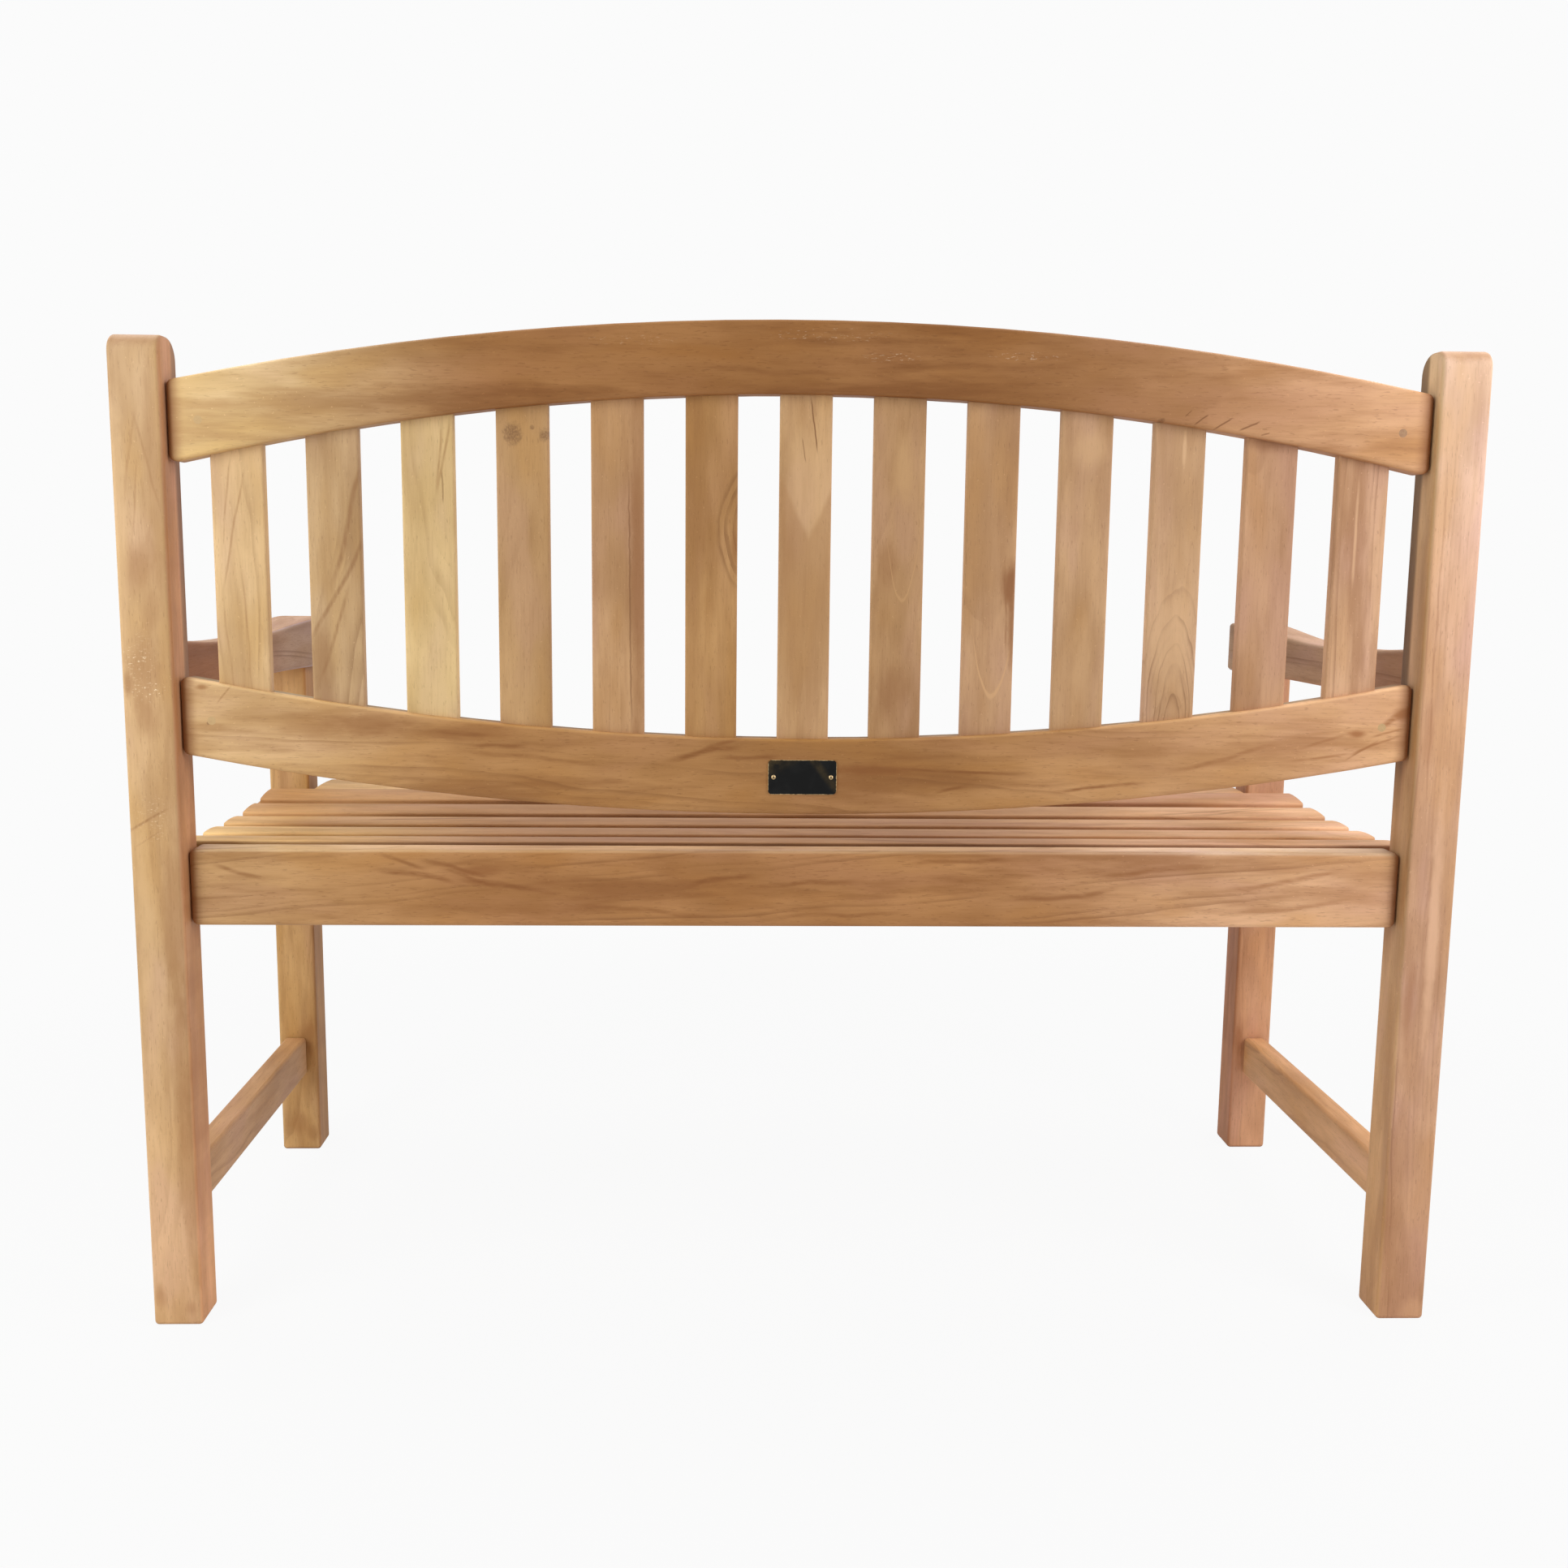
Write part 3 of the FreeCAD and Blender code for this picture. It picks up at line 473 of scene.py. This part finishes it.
teak("rear_leg_right", (0.645, 0.380, 0.233), UPRIGHT, (-0.30, 0.05), (0.006, 0.0), figure=0.55,
     streak=0.45, seed=2.3, end_dark=0.22,
     # The tints at both ends are partly the wood's own tone and partly painted light, the paler top partly a
     # painted highlight
     tips=((0.89, 0.81, 0.70), (1.28, 1.48, 1.70)),
     # Painted shade on the inner flank, a painted shadow of the back slats on its front strip between the
     # rails, painted light on its lower part and painted shade on the top face
     painted_flanks=[(0, 1.0, (0.88, 0.90, 0.74))],
     painted_strips=[(0, 1.0, [(1, REAR_FACE - 0.024, REAR_FACE - 0.031), (2, 0.46, 0.58)], (0.36, 0.32, 0.25)),
             (0, 1.0, [(2, 0.42, 0.28)], (1.26, 1.27, 1.32)),
             (2, 1.0, [(2, 0.80, 0.90)], (0.86, 0.80, 0.68))],
     marks=[(vein, 0.012, 0.20, 0.01, 0.22, 0.0016, 0.45),
            (vein, 0.002, -0.02, 0.01, 0.16, 0.0018, 0.35),
            (bloom, -0.0045, -0.070, 0.007, 0.150, 0.75),
            (stain, 0.0130, -0.140, 0.006, 0.060, 0.50),
            (stain, 0.0130, 0.110, 0.007, 0.045, 0.40),
            (bloom, -0.010, -0.440, 0.014, 0.018, 0.60)])
teak("front_leg_left", (0.60, 0.350, 0.140), UPRIGHT, (0.05, -0.10), (0.02, 0.05), figure=0.4, seed=3.1,
     # Painted shade on the inner flank
     painted_flanks=[(0, -1.0, (0.84, 0.74, 0.66))],
     marks=[(stain, -0.012, -0.165, 0.014, 0.030, 0.75),
            (stain, 0.004, -0.272, 0.018, 0.018, 0.5),
            (stain, -0.014, -0.285, 0.010, 0.012, 0.5)])
teak("front_leg_right", (0.66, 0.350, 0.190), UPRIGHT, (-0.20, -0.08), (0.01, 0.02), figure=0.4,
     seed=4.7,
     # Painted shade on the inner flank
     painted_flanks=[(0, 1.0, (0.84, 0.72, 0.64))],
     marks=[(stain, 0.016, -0.165, 0.008, 0.026, 0.75)])

# Back rails
teak("top_back_rail", (0.338, 0.148, 0.042), ALONG_BACK, (0.02, -0.30), (0.002, 0.03), rings=150.0,
     # Darkened beside the posts partly by dirt in the joint and partly by painted shade; pale ends partly
     # the wood's own tone and partly painted light and sheen; painted light on the top face
     figure=0.12, streak=0.80, seed=5.2, end_dark=0.85, end_dirt_and_shade=0.0175,
     tips=((1.80, 2.20, 3.5), (2.42, 3.92, 6.9)),
     painted_flanks=[(2, 1.0, (1.08, 1.10, 1.10))],
     marks=[(crack, -0.0127, -0.3354, -0.93, 0.0035, 0.0010, 0.6),
            (crack, -0.0180, -0.3472, -0.70, 0.0070, 0.0012, 0.8),
            (crack, -0.0215, -0.3662, -0.64, 0.0095, 0.0012, 0.8),
            (crack, -0.0230, -0.3901, -0.43, 0.0105, 0.0012, 0.8),
            (crack, -0.0300, -0.4044, -0.25, 0.0045, 0.0009, 0.6),
            (knot, -0.0195, -0.3120, 0.003, 0.8),
            (scuff, 0.050, -0.02, 0.008, 0.06, DASHES, 0.40),
            (scuff, 0.032, -0.074, 0.006, 0.036, DASHES, 0.45),
            (scuff, 0.034, -0.190, 0.005, 0.040, DASHES, 0.45),
            (scuff, 0.044, 0.15, 0.006, 0.05, DASHES, 0.30),
            (vein, -0.020, -0.220, -0.05, 0.060, 0.0040, 0.6),
            (vein, -0.026, -0.160, -0.03, 0.050, 0.0034, 0.5),
            (vein, 0.020, 0.030, 0.02, 0.090, 0.0040, 0.4),
            (vein, -0.012, 0.170, 0.03, 0.080, 0.0040, 0.4)])
teak("lower_back_rail", (0.440, 0.217, 0.074), ALONG_BACK, (-0.10, -0.05), (0.05, 0.02), rings=200.0,
     # Darkened beside the posts partly by dirt in the joint and partly by painted shade; pale ends partly
     # the wood's own tone and partly painted light; painted light on the top face, with a painted shadow of
     # the back slats on its far strip
     figure=0.4, streak=0.75, seed=6.4, end_dark=0.85, end_dirt_and_shade=0.0175,
     tips=((1.55, 1.76, 2.42), (1.45, 1.87, 2.62)),
     painted_flanks=[(2, 1.0, (1.28, 1.38, 1.42))],
     painted_strips=[(2, 1.0, [(1, REAR_FACE - 0.0195, REAR_FACE - 0.0230)], (0.42, 0.44, 0.42))],
     marks=[(vein, 0.0060, -0.5224, -0.43, 0.028, 0.0019, 0.9),
            (vein, 0.0, -0.5097, -0.64, 0.018, 0.0017, 0.8),
            (vein, -0.0055, -0.4718, -0.14, 0.034, 0.0019, 0.7),
            (vein, 0.0095, -0.4755, -0.28, 0.026, 0.0022, 0.6),
            (vein, 0.0172, -0.5328, -0.26, 0.018, 0.0017, 0.7),
            (vein, 0.0320, -0.5420, -0.47, 0.019, 0.0055, 1.0),
            (stain, 0.0345, -0.5460, 0.007, 0.012, 0.9),
            (stain, 0.0161, -0.5040, 0.0040, 0.010, 1.0),
            (stain, 0.0520, 0.5343, 0.0030, 0.007, 0.9),
            (vein, 0.0460, 0.5150, -1.2, 0.008, 0.0020, 0.7),
            (vein, -0.0040, 0.0880, -0.22, 0.040, 0.0045, 0.9),
            (vein, 0.0045, 0.0700, -0.30, 0.028, 0.0030, 0.7),
            (vein, -0.0205, -0.1390, 0.02, 0.070, 0.0022, 0.9),
            (vein, -0.0360, -0.1350, -0.25, 0.018, 0.0024, 0.8),
            (vein, -0.0346, -0.2700, -0.07, 0.050, 0.0026, 0.9),
            (vein, -0.0070, -0.3830, -0.26, 0.060, 0.0034, 0.6),
            (stain, 0.0200, 0.3900, 0.014, 0.050, 0.70),
            (stain, 0.0170, 0.4400, 0.013, 0.045, 0.45),
            (stain, 0.0130, 0.3000, 0.010, 0.060, 0.50),
            (vein, 0.0116, 0.3080, 0.0, 0.034, 0.0036, 0.85),
            (vein, 0.0020, 0.2720, 0.0, 0.032, 0.0032, 0.75),
            (vein, -0.0100, 0.2400, 0.12, 0.080, 0.0034, 0.5),
            (knot, 0.0197, 0.5300, 0.0020, 0.9),
            (bloom, -0.0150, 0.4200, 0.008, 0.040, 0.45),
            (stain, -0.0190, -0.0620, 0.0065, 0.050, 0.90),
            (vein, -0.0070, 0.0480, 0.0, 0.032, 0.0030, 0.8)])

# Back slats, counted from the sitter's right: tone, heart, drift, figure, streak, span and marks
SLATS = (
    ((0.589, 0.344, 0.193), (0.12, -0.02), (0.004, 0.0), 0.50, 0.70, None,
     [(bloom, 0.004, 0.036, 0.0018, 0.060, 0.7)]),
    ((0.508, 0.281, 0.150), (0.03, -0.12), (0.01, 0.05), 0.15, 0.35, None,
     [(stain, 0.006, 0.118, 0.024, 0.010, 0.55)]),
    ((0.584, 0.356, 0.193), (0.0, -0.035), (0.0, -0.16), 0.45, 0.35, (0.02, -0.03),
     [(eye, -0.003, -0.140, 0.029, 4.5, 0.62),
      (bloom, 0.0, -0.060, 0.022, 0.055, 0.55),
      (bloom, -0.004, 0.111, 0.0022, 0.022, 0.8)]),
    ((0.551, 0.327, 0.167), (0.04, -0.15), (0.01, 0.04), 0.15, 0.35, None,
     [(bloom, -0.004, 0.108, 0.022, 0.020, 0.6),
      (bloom, -0.002, -0.085, 0.012, 0.050, 0.5)]),
    ((0.546, 0.318, 0.165), (0.0, -0.05), (0.0, 0.12), 0.25, 0.40, None,
     [(bow, -0.004, -0.112, 168.0, 0.004, 0.75),
      (stain, -0.019, -0.012, 0.010, 0.026, 1.0),
      (stain, -0.022, -0.050, 0.006, 0.045, 0.8),
      (vein, -0.0150, -0.035, 0.03, 0.050, 0.0014, 0.6)]),
    ((0.508, 0.292, 0.136), (0.02, -0.05), (0.02, 0.12), 0.25, 0.55, None,
     [(bloom, -0.004, 0.088, 0.013, 0.040, 0.7),
      (stain, 0.009, 0.005, 0.012, 0.030, 0.5),
      (bow, -0.0045, -0.026, 250.0, 0.003, 0.45),
      (stain, 0.002, -0.110, 0.020, 0.030, 0.45)]),
    ((0.595, 0.360, 0.178), (0.1, -0.045), (0.0, 0.04), 0.30, 0.50, None,
     [(bloom, 0.0, 0.080, 0.024, 0.060, 0.5),
      (vee, -0.0033, 0.0270, 2.1, 0.50),
      (crack, -0.007, 0.126, 0.135, 0.027, 0.0009, 0.9),
      (crack, 0.0018, 0.104, 0.137, 0.012, 0.0007, 0.65)]),
    ((0.500, 0.270, 0.103), (-0.25, -0.02), (0.0, 0.0), 0.15, 0.45, None,
     [(eye, -0.035, 0.033, 0.0292, 1.86, 0.60),
      (stain, -0.021, 0.020, 0.005, 0.022, 0.6)]),
    ((0.541, 0.309, 0.151), (-0.15, -0.02), (0.005, 0.0), 0.45, 0.55, None,
     [(stain, -0.017, 0.0, 0.007, 0.16, 0.6),
      (crack, -0.0108, -0.030, 0.008, 0.13, 0.0011, 0.6)]),
    ((0.514, 0.300, 0.135), (0.05, -0.20), (0.0, 0.05), 0.12, 0.35, None,
     [(knot, 0.0084, 0.1165, 0.0110, 0.8),
      (knot, -0.0196, 0.1158, 0.0065, 0.75),
      (knot, -0.009, 0.1222, 0.0026, 0.7)]),
    ((0.670, 0.463, 0.219), (-0.02, -0.05), (0.0, 0.10), 0.25, 0.25, None,
     [(crack, -0.0126, 0.071, 0.02, 0.016, 0.0011, 0.6),
      (vein, -0.0102, 0.099, -0.073, 0.038, 0.0017, 0.65),
      (vein, -0.0140, 0.099, -0.20, 0.038, 0.0019, 0.65)]),
    ((0.528, 0.340, 0.178), (-0.012, -0.03), (-0.19, 0.0), 0.55, 0.40, None,
     [(vein, -0.0028, -0.015, -0.53, 0.060, 0.0034, 0.75),
      (vein, -0.0105, 0.043, -0.226, 0.070, 0.0038, 0.8),
      (vein, 0.004, -0.060, -0.30, 0.055, 0.0026, 0.6),
      (stain, 0.014, -0.085, 0.011, 0.040, 0.6)]),
    ((0.653, 0.431, 0.220), (-0.05, -0.03), (0.03, 0.04), 0.50, 0.25, None,
     [(vein, 0.0045, 0.035, -0.20, 0.065, 0.0017, 0.55),
      (vein, -0.004, -0.060, 0.06, 0.070, 0.0015, 0.45),
      (vein, 0.010, 0.060, -0.14, 0.050, 0.0015, 0.45),
      (vein, 0.012, -0.075, 0.10, 0.050, 0.0015, 0.40)]),
)
for number, (tone, heart, drift, figure, streak, span, marks) in enumerate(SLATS, 1):
    teak("back_slat_%02d" % number, tone, UPRIGHT, heart, drift, figure=figure, streak=streak, span=span,
         seed=7.0 + number * 1.37, marks=marks)

# Seat rails and bearer
teak("rear_seat_rail", (0.450, 0.212, 0.073), ALONG_BACK, (0.12, -0.02), (-0.08, 0.02), rings=190.0,
     # Darkened beside the posts partly by dirt in the joint and partly by painted shade; pale ends partly
     # the wood's own tone and partly painted light; painted light on the top face and painted shade on it
     # towards the sitter's right end
     figure=0.6, streak=0.75, warp=0.009, seed=21.0, end_dark=0.7, end_dirt_and_shade=0.0130,
     tips=((1.68, 2.08, 3.25), (1.08, 1.30, 1.54)),
     painted_flanks=[(2, 1.0, (1.28, 1.58, 2.10))],
     painted_strips=[(2, 1.0, [(0, -0.20, -0.55)], (0.80, 0.80, 0.76))],
     marks=[(vein, 0.012, 0.350, 0.17, 0.045, 0.0040, 0.8),
            (vein, 0.018, 0.315, 0.25, 0.036, 0.0036, 0.75),
            (vein, 0.004, 0.270, 0.17, 0.055, 0.0038, 0.8),
            (vein, 0.010, 0.300, 0.30, 0.030, 0.0030, 0.7),
            (stain, 0.016, 0.292, 0.006, 0.025, 0.6),
            (vein, 0.014, 0.508, 0.30, 0.028, 0.0034, 0.7),
            (vein, 0.023, 0.362, 0.30, 0.026, 0.0030, 0.7),
            (vein, 0.0073, 0.073, -0.09, 0.040, 0.0044, 0.8),
            (vein, 0.005, -0.003, -0.10, 0.065, 0.0034, 0.7),
            (vein, 0.0255, -0.149, -0.03, 0.060, 0.0034, 0.6),
            (vein, 0.0185, -0.322, -0.11, 0.060, 0.0040, 0.7),
            (vein, -0.0065, -0.239, -0.10, 0.065, 0.0040, 0.7),
            (vein, 0.010, -0.449, -0.17, 0.070, 0.0040, 0.7),
            (vein, -0.0165, -0.460, -0.13, 0.060, 0.0034, 0.6),
            (vein, -0.020, 0.150, 0.05, 0.080, 0.0034, 0.5),
            (vein, -0.024, -0.040, -0.05, 0.070, 0.0030, 0.5)])
teak("front_seat_rail", HONEY, ALONG_BACK, (0.05, 0.08), (0.02, 0.04), seed=22.3)
teak("centre_seat_bearer", SAND, ALONG_SIDE, (0.06, 0.07), (0.02, 0.04), seed=23.1)
for side, seed, bright in (("left", 24.2, 1.04), ("right", 25.6, 1.34)):
    teak("side_seat_rail_" + side, SAND, ALONG_SIDE, (0.06, 0.07), (0.02, 0.04), seed=seed)
    teak("side_stretcher_" + side, shade(SAND, (bright, bright, bright)), ALONG_SIDE, (0.05, 0.09),
         (0.02, 0.03), seed=seed + 2.0)
teak("armrest_left", FAWN, ALONG_ARM, (0.04, -0.08), (0.05, 0.03), seed=28.2,
     # Painted shade on the inner flank, lifted by painted light towards its front part
     painted_flanks=[(0, -1.0, (0.69, 0.47, 0.26))],
     painted_strips=[(0, -1.0, [(1, 0.02, -0.14)], (1.28, 2.10, 4.30))])
teak("armrest_right", FAWN, ALONG_ARM, (0.04, -0.08), (0.05, 0.03), seed=29.6,
     # Painted shade on the inner flank, deeper on its rear part
     painted_flanks=[(0, 1.0, (0.83, 0.83, 0.75))],
     painted_strips=[(0, 1.0, [(1, 0.02, 0.18)], (0.92, 0.83, 0.73))])

# Seat slats from the rear: pink at the sitter's right end, straw at the left, partly the wood's own tone and
# partly painted light; painted shade on the faces in the gaps, lifted by painted light towards both ends
SEAT_TONE = (0.425, 0.216, 0.088)
PINK_END = (1.98, 2.34, 3.10)
SEAT_TIPS = ((PINK_END, (2.16, 2.88, 3.10)),
             (PINK_END, (2.20, 2.95, 3.20)),
             (PINK_END, (1.85, 2.25, 2.35)),
             (PINK_END, (1.55, 1.72, 1.75)),
             ((1.72, 1.90, 2.50), (1.45, 1.55, 1.52)),
             ((1.90, 2.25, 3.00), (1.90, 2.40, 2.60)))
GAP_PAINTED_SHADE = (0.84, 0.76, 0.70)
GAP_PAINTED_LIGHT = [(1, 1.0, [(0, 0.22, 0.50)], (1.22, 1.34, 1.44)),
              (1, 1.0, [(0, -0.30, -0.55)], (1.14, 1.22, 1.28))]
RAIL_GAP_PAINTED_SHADE = (0.98, 0.97, 0.96)
RAIL_PAINTED_SHADOW = [(1, 1.0, [(2, SEAT_RAIL_TOP + 0.006, SEAT_RAIL_TOP + 0.002)], (0.55, 0.50, 0.48))]
for number, tips in enumerate(SEAT_TIPS, 1):
    # The first slat lies beside the rear seat rail, and a line of painted shade runs on it just above the
    # rail
    gap_painted_shade, painted_strips = (RAIL_GAP_PAINTED_SHADE, RAIL_PAINTED_SHADOW) if number == 1 else (GAP_PAINTED_SHADE, GAP_PAINTED_LIGHT)
    heart = (0.03 * math.sin(number * 1.3), -0.06)
    teak("seat_slat_%d" % number, SEAT_TONE, ALONG_SEAT, heart, (0.01, 0.05), seed=31.0 + number * 1.9,
         tips=tips,
         painted_flanks=[(1, 1.0, gap_painted_shade), (1, -1.0, gap_painted_shade)],
         painted_strips=painted_strips)

teak("back_rail_tenons", HONEY, ALONG_BACK, (0.3, -0.2), (0.0, 0.0), seed=45.0)


# Tones of the pegs, the plate, its pins and the screws
PEG_TONE = (0.53, 0.340, 0.160)
BROWNED_PEG = (0.36, 0.195, 0.105)
PEG_PORE = (0.24, 0.15, 0.08)
PALE_PEG = (0.62, 0.42, 0.22)
BLACK_PAINT = (0.004, 0.004, 0.004)
SMUDGED_PAINT = (0.009, 0.009, 0.009)
PAINTED_REFLECTION = (0.050, 0.034, 0.014)
RIM_BRASS = (0.58, 0.42, 0.22)
PIN_BRASS = (0.62, 0.45, 0.24)
TARNISH = (0.42, 0.29, 0.15)
DIMPLE_PAINTED_SHADE = (0.06, 0.045, 0.03)
DARK_STEEL = (0.50, 0.50, 0.49)
BRIGHT_STEEL = (0.68, 0.68, 0.66)


def peg_finish():
    """End grain of the pegs: browned at one end of the top rail, nearly the rails' own tone elsewhere."""
    finish = Finish(bpy.data.materials.new("peg_end_grain"))
    x, y, z = finish.place()
    spot = finish.vector(x, y, z)
    pores = finish.noise(spot, 1400.0, 2.0, 0.6)
    cloud = finish.noise(spot, 300.0, 2.0, 0.5)
    browned = x.ease(0.1, -0.1) * z.ease(0.65, 0.75)
    colour = finish.blend(browned, PEG_TONE, BROWNED_PEG)
    colour = finish.blend(pores.ease(0.55, 0.75) * 0.5, colour, PEG_PORE)
    colour = finish.blend(cloud.ease(0.35, 0.65) * 0.15, colour, PALE_PEG)
    finish.feed({"Base Color": colour, "Roughness": 0.50 + pores * 0.2, "Specular IOR Level": WOOD_GLOSS,
                 "Normal": finish.bump(pores, 0.2, 0.0003)})
    dress("back_rail_pegs", finish)


def plate_finish():
    """Black paint on brass: bare metal in a worn line round the rim, smudges over the middle, and a painted
    warm reflection at one corner and along a slanting line.
    """
    finish = Finish(bpy.data.materials.new("black_plate"))
    x, y, z = finish.place()
    spot = finish.vector(x, y, z)
    half_x = (PLATE_HIGH[0] - PLATE_LOW[0]) / 2
    half_z = (PLATE_HIGH[2] - PLATE_LOW[2]) / 2
    mid_z = (PLATE_HIGH[2] + PLATE_LOW[2]) / 2
    rim = (half_x - abs(x)).least(half_z - abs(z - mid_z))
    chips = finish.noise(spot, 420.0, 3.0, 0.6)
    bare = (rim + (chips - 0.5) * 0.0012).ease(0.0005, 0.0001)
    smudge = finish.noise(spot, 70.0, 4.0, 0.6)
    colour = finish.blend(smudge.ease(0.4, 0.8), BLACK_PAINT, SMUDGED_PAINT)
    # Painted reflection: a warm glow at one corner and along a slanting line, broken up by the smudges
    corner = (x - half_x * 0.8) * 0.6 + (z - mid_z - half_z * 0.7)
    slant = abs(x + half_x * 0.72 - (z - mid_z) * 0.8)
    glow = corner.ease(-0.014, 0.006) + slant.ease(0.007, 0.001) * 0.6
    colour = finish.blend(glow * smudge.ease(0.3, 0.7), colour, PAINTED_REFLECTION)
    colour = finish.blend(bare, colour, RIM_BRASS)
    finish.feed({"Base Color": colour, "Roughness": 0.30 + smudge * 0.2, "Metallic": bare,
                 "Specular IOR Level": 0.13, "Normal": finish.bump(chips, 0.08, 0.0003)})
    dress("name_plate", finish)


def pin_finish():
    """Dulled brass, with painted shade in the dimple of each head."""
    finish = Finish(bpy.data.materials.new("pin_brass"))
    x, y, z = finish.place()
    spot = finish.vector(x, y, z)
    spread = (PIN_HIGH[0] - PIN_LOW[0]) / 2 - PIN_RADIUS
    mid_z = (PIN_HIGH[2] + PIN_LOW[2]) / 2
    from_axis = ((abs(x) - spread) ** 2.0 + (z - mid_z) ** 2.0).sqrt()
    tarnish = finish.noise(spot, 900.0, 3.0, 0.6)
    colour = finish.blend(tarnish.ease(0.3, 0.7), PIN_BRASS, TARNISH)
    # Painted shade at the middle of each head
    colour = finish.blend(from_axis.ease(0.0012, 0.0006), colour, DIMPLE_PAINTED_SHADE)
    finish.feed({"Base Color": colour, "Roughness": 0.30 + tarnish * 0.2, "Metallic": 1.0,
                 "Normal": finish.bump(tarnish, 0.1, 0.0002)})
    dress("plate_pins", finish)


def screw_finish():
    """Plain steel with a turned grain round each shank."""
    finish = Finish(bpy.data.materials.new("screw_steel"))
    x, y, z = finish.place()
    grain = finish.wander(x * 200.0, y * 200.0, z * 2500.0, 2.0, 0.6)
    colour = finish.blend(grain, DARK_STEEL, BRIGHT_STEEL)
    finish.feed({"Base Color": colour, "Roughness": 0.28 + grain * 0.2, "Metallic": 1.0,
                 "Normal": finish.bump(grain, 0.1, 0.0002)})
    dress("seat_slat_screws", finish)


peg_finish()
plate_finish()
pin_finish()
screw_finish()


# Studio: how bright the surround looks, how much it lights, and the share of glow in the floor by the bench
WHITE = 0.965
AMBIENT = 0.28
NEAR_GLOW = 0.965
FLOOR_REACH = 14.0
FLOOR_TONE = (0.93, 0.93, 0.93)


def ground():
    """A wide pale floor. Seen by the camera it is mostly plain white, and keeps part of the real shadow."""
    corners = [(-FLOOR_REACH, -FLOOR_REACH, 0), (FLOOR_REACH, -FLOOR_REACH, 0),
               (FLOOR_REACH, FLOOR_REACH, 0), (-FLOOR_REACH, FLOOR_REACH, 0)]
    mesh = bpy.data.meshes.new("floor")
    mesh.from_pydata(corners, [], [(0, 1, 2, 3)])
    floor = bpy.data.objects.new("floor", mesh)
    bpy.context.scene.collection.objects.link(floor)
    finish = Finish(bpy.data.materials.new("white_floor"))
    finish.feed({"Base Color": FLOOR_TONE, "Roughness": 0.9})
    x, y, _ = finish.place()
    far = (x * x + y * y).sqrt().ease(0.7, 1.6)
    share = finish.seen() * far.over(NEAR_GLOW)
    glow = finish.node("ShaderNodeEmission", None, {"Color": (WHITE, WHITE, WHITE)})
    lit = Lead(finish, finish.shader.outputs[0])
    mix = finish.node("ShaderNodeMixShader", None, {0: share, 1: lit, 2: glow})
    finish.plug(finish.tree.nodes["Material Output"].inputs["Surface"], mix)
    mesh.materials.append(finish.owner)


def sky():
    """Even white surround: plain white to the camera, softer as light."""
    world = bpy.data.worlds.new("studio")
    bpy.context.scene.world = world
    surround = Finish(world, "Background")
    strength = AMBIENT + surround.seen() * (WHITE - AMBIENT)
    surround.feed({"Color": (1.0, 1.0, 1.0), "Strength": strength})


def softbox(name, spot, aim, width, height, watts, tint):
    """A soft rectangular lamp at a spot, turned to the point it aims at."""
    lamp = bpy.data.lights.new(name, "AREA")
    lamp.shape = "RECTANGLE"
    lamp.size = width
    lamp.size_y = height
    lamp.energy = watts
    lamp.color = tint
    holder = bpy.data.objects.new(name, lamp)
    holder.location = spot
    holder.rotation_euler = (Vector(aim) - Vector(spot)).to_track_quat("-Z", "Y").to_euler()
    bpy.context.scene.collection.objects.link(holder)


# Two tall softboxes beside the camera, and two over the ends of the seat
ground()
sky()
softbox("left_softbox", (1.14, 0.92, 1.00), (0.50, 0.20, 0.62),
        0.50, 1.35, 11.0, (0.945, 1.0, 0.98))
softbox("right_softbox", (-1.14, 0.92, 1.12), (-0.50, 0.20, 0.70),
        0.50, 1.30, 11.4, (0.955, 0.965, 1.0))
softbox("left_top_softbox", (0.95, -0.20, 1.65), (0.42, 0.0, 0.45),
        0.60, 1.10, 8.0, (1.0, 0.99, 0.95))
softbox("right_top_softbox", (-0.95, -0.20, 1.65), (-0.42, 0.0, 0.45),
        0.60, 1.10, 8.5, (1.0, 0.96, 0.94))


def photo_camera():
    """The camera stands behind the bench, a little to its left, and looks slightly down.

    Its axes come from yaw, pitch and roll. The lens comes from the focal length in pixels of the image,
    and the shift from the pixels between the image's middle and the line of sight.
    """
    yaw = 0.02857
    pitch = 0.14637
    roll = -0.00893
    image = 1932.0
    focal = 1927.5
    off_right = 29.7
    off_up = 4.9
    sensor = 36.0
    spot = Vector((0.07819, REAR_FACE + 1.38713, 0.71530))
    level = math.cos(pitch)
    ahead = Vector((-math.sin(yaw) * level, -math.cos(yaw) * level, -math.sin(pitch)))
    right = Vector((-math.cos(yaw), math.sin(yaw), 0.0))
    down = ahead.cross(right)
    turned = right * math.cos(roll) + down * math.sin(roll)
    below = down * math.cos(roll) - right * math.sin(roll)
    data = bpy.data.cameras.new("camera")
    data.sensor_width = sensor
    data.sensor_fit = "HORIZONTAL"
    data.lens = sensor * focal / image
    data.shift_x = off_right / image
    data.shift_y = off_up / image
    data.clip_start = 0.05
    camera = bpy.data.objects.new("camera", data)
    axes = Matrix((turned, -below, -ahead)).transposed().to_4x4()
    axes.translation = spot
    camera.matrix_world = axes
    bpy.context.scene.collection.objects.link(camera)
    bpy.context.scene.camera = camera


photo_camera()
bpy.context.scene.view_settings.view_transform = "Standard"
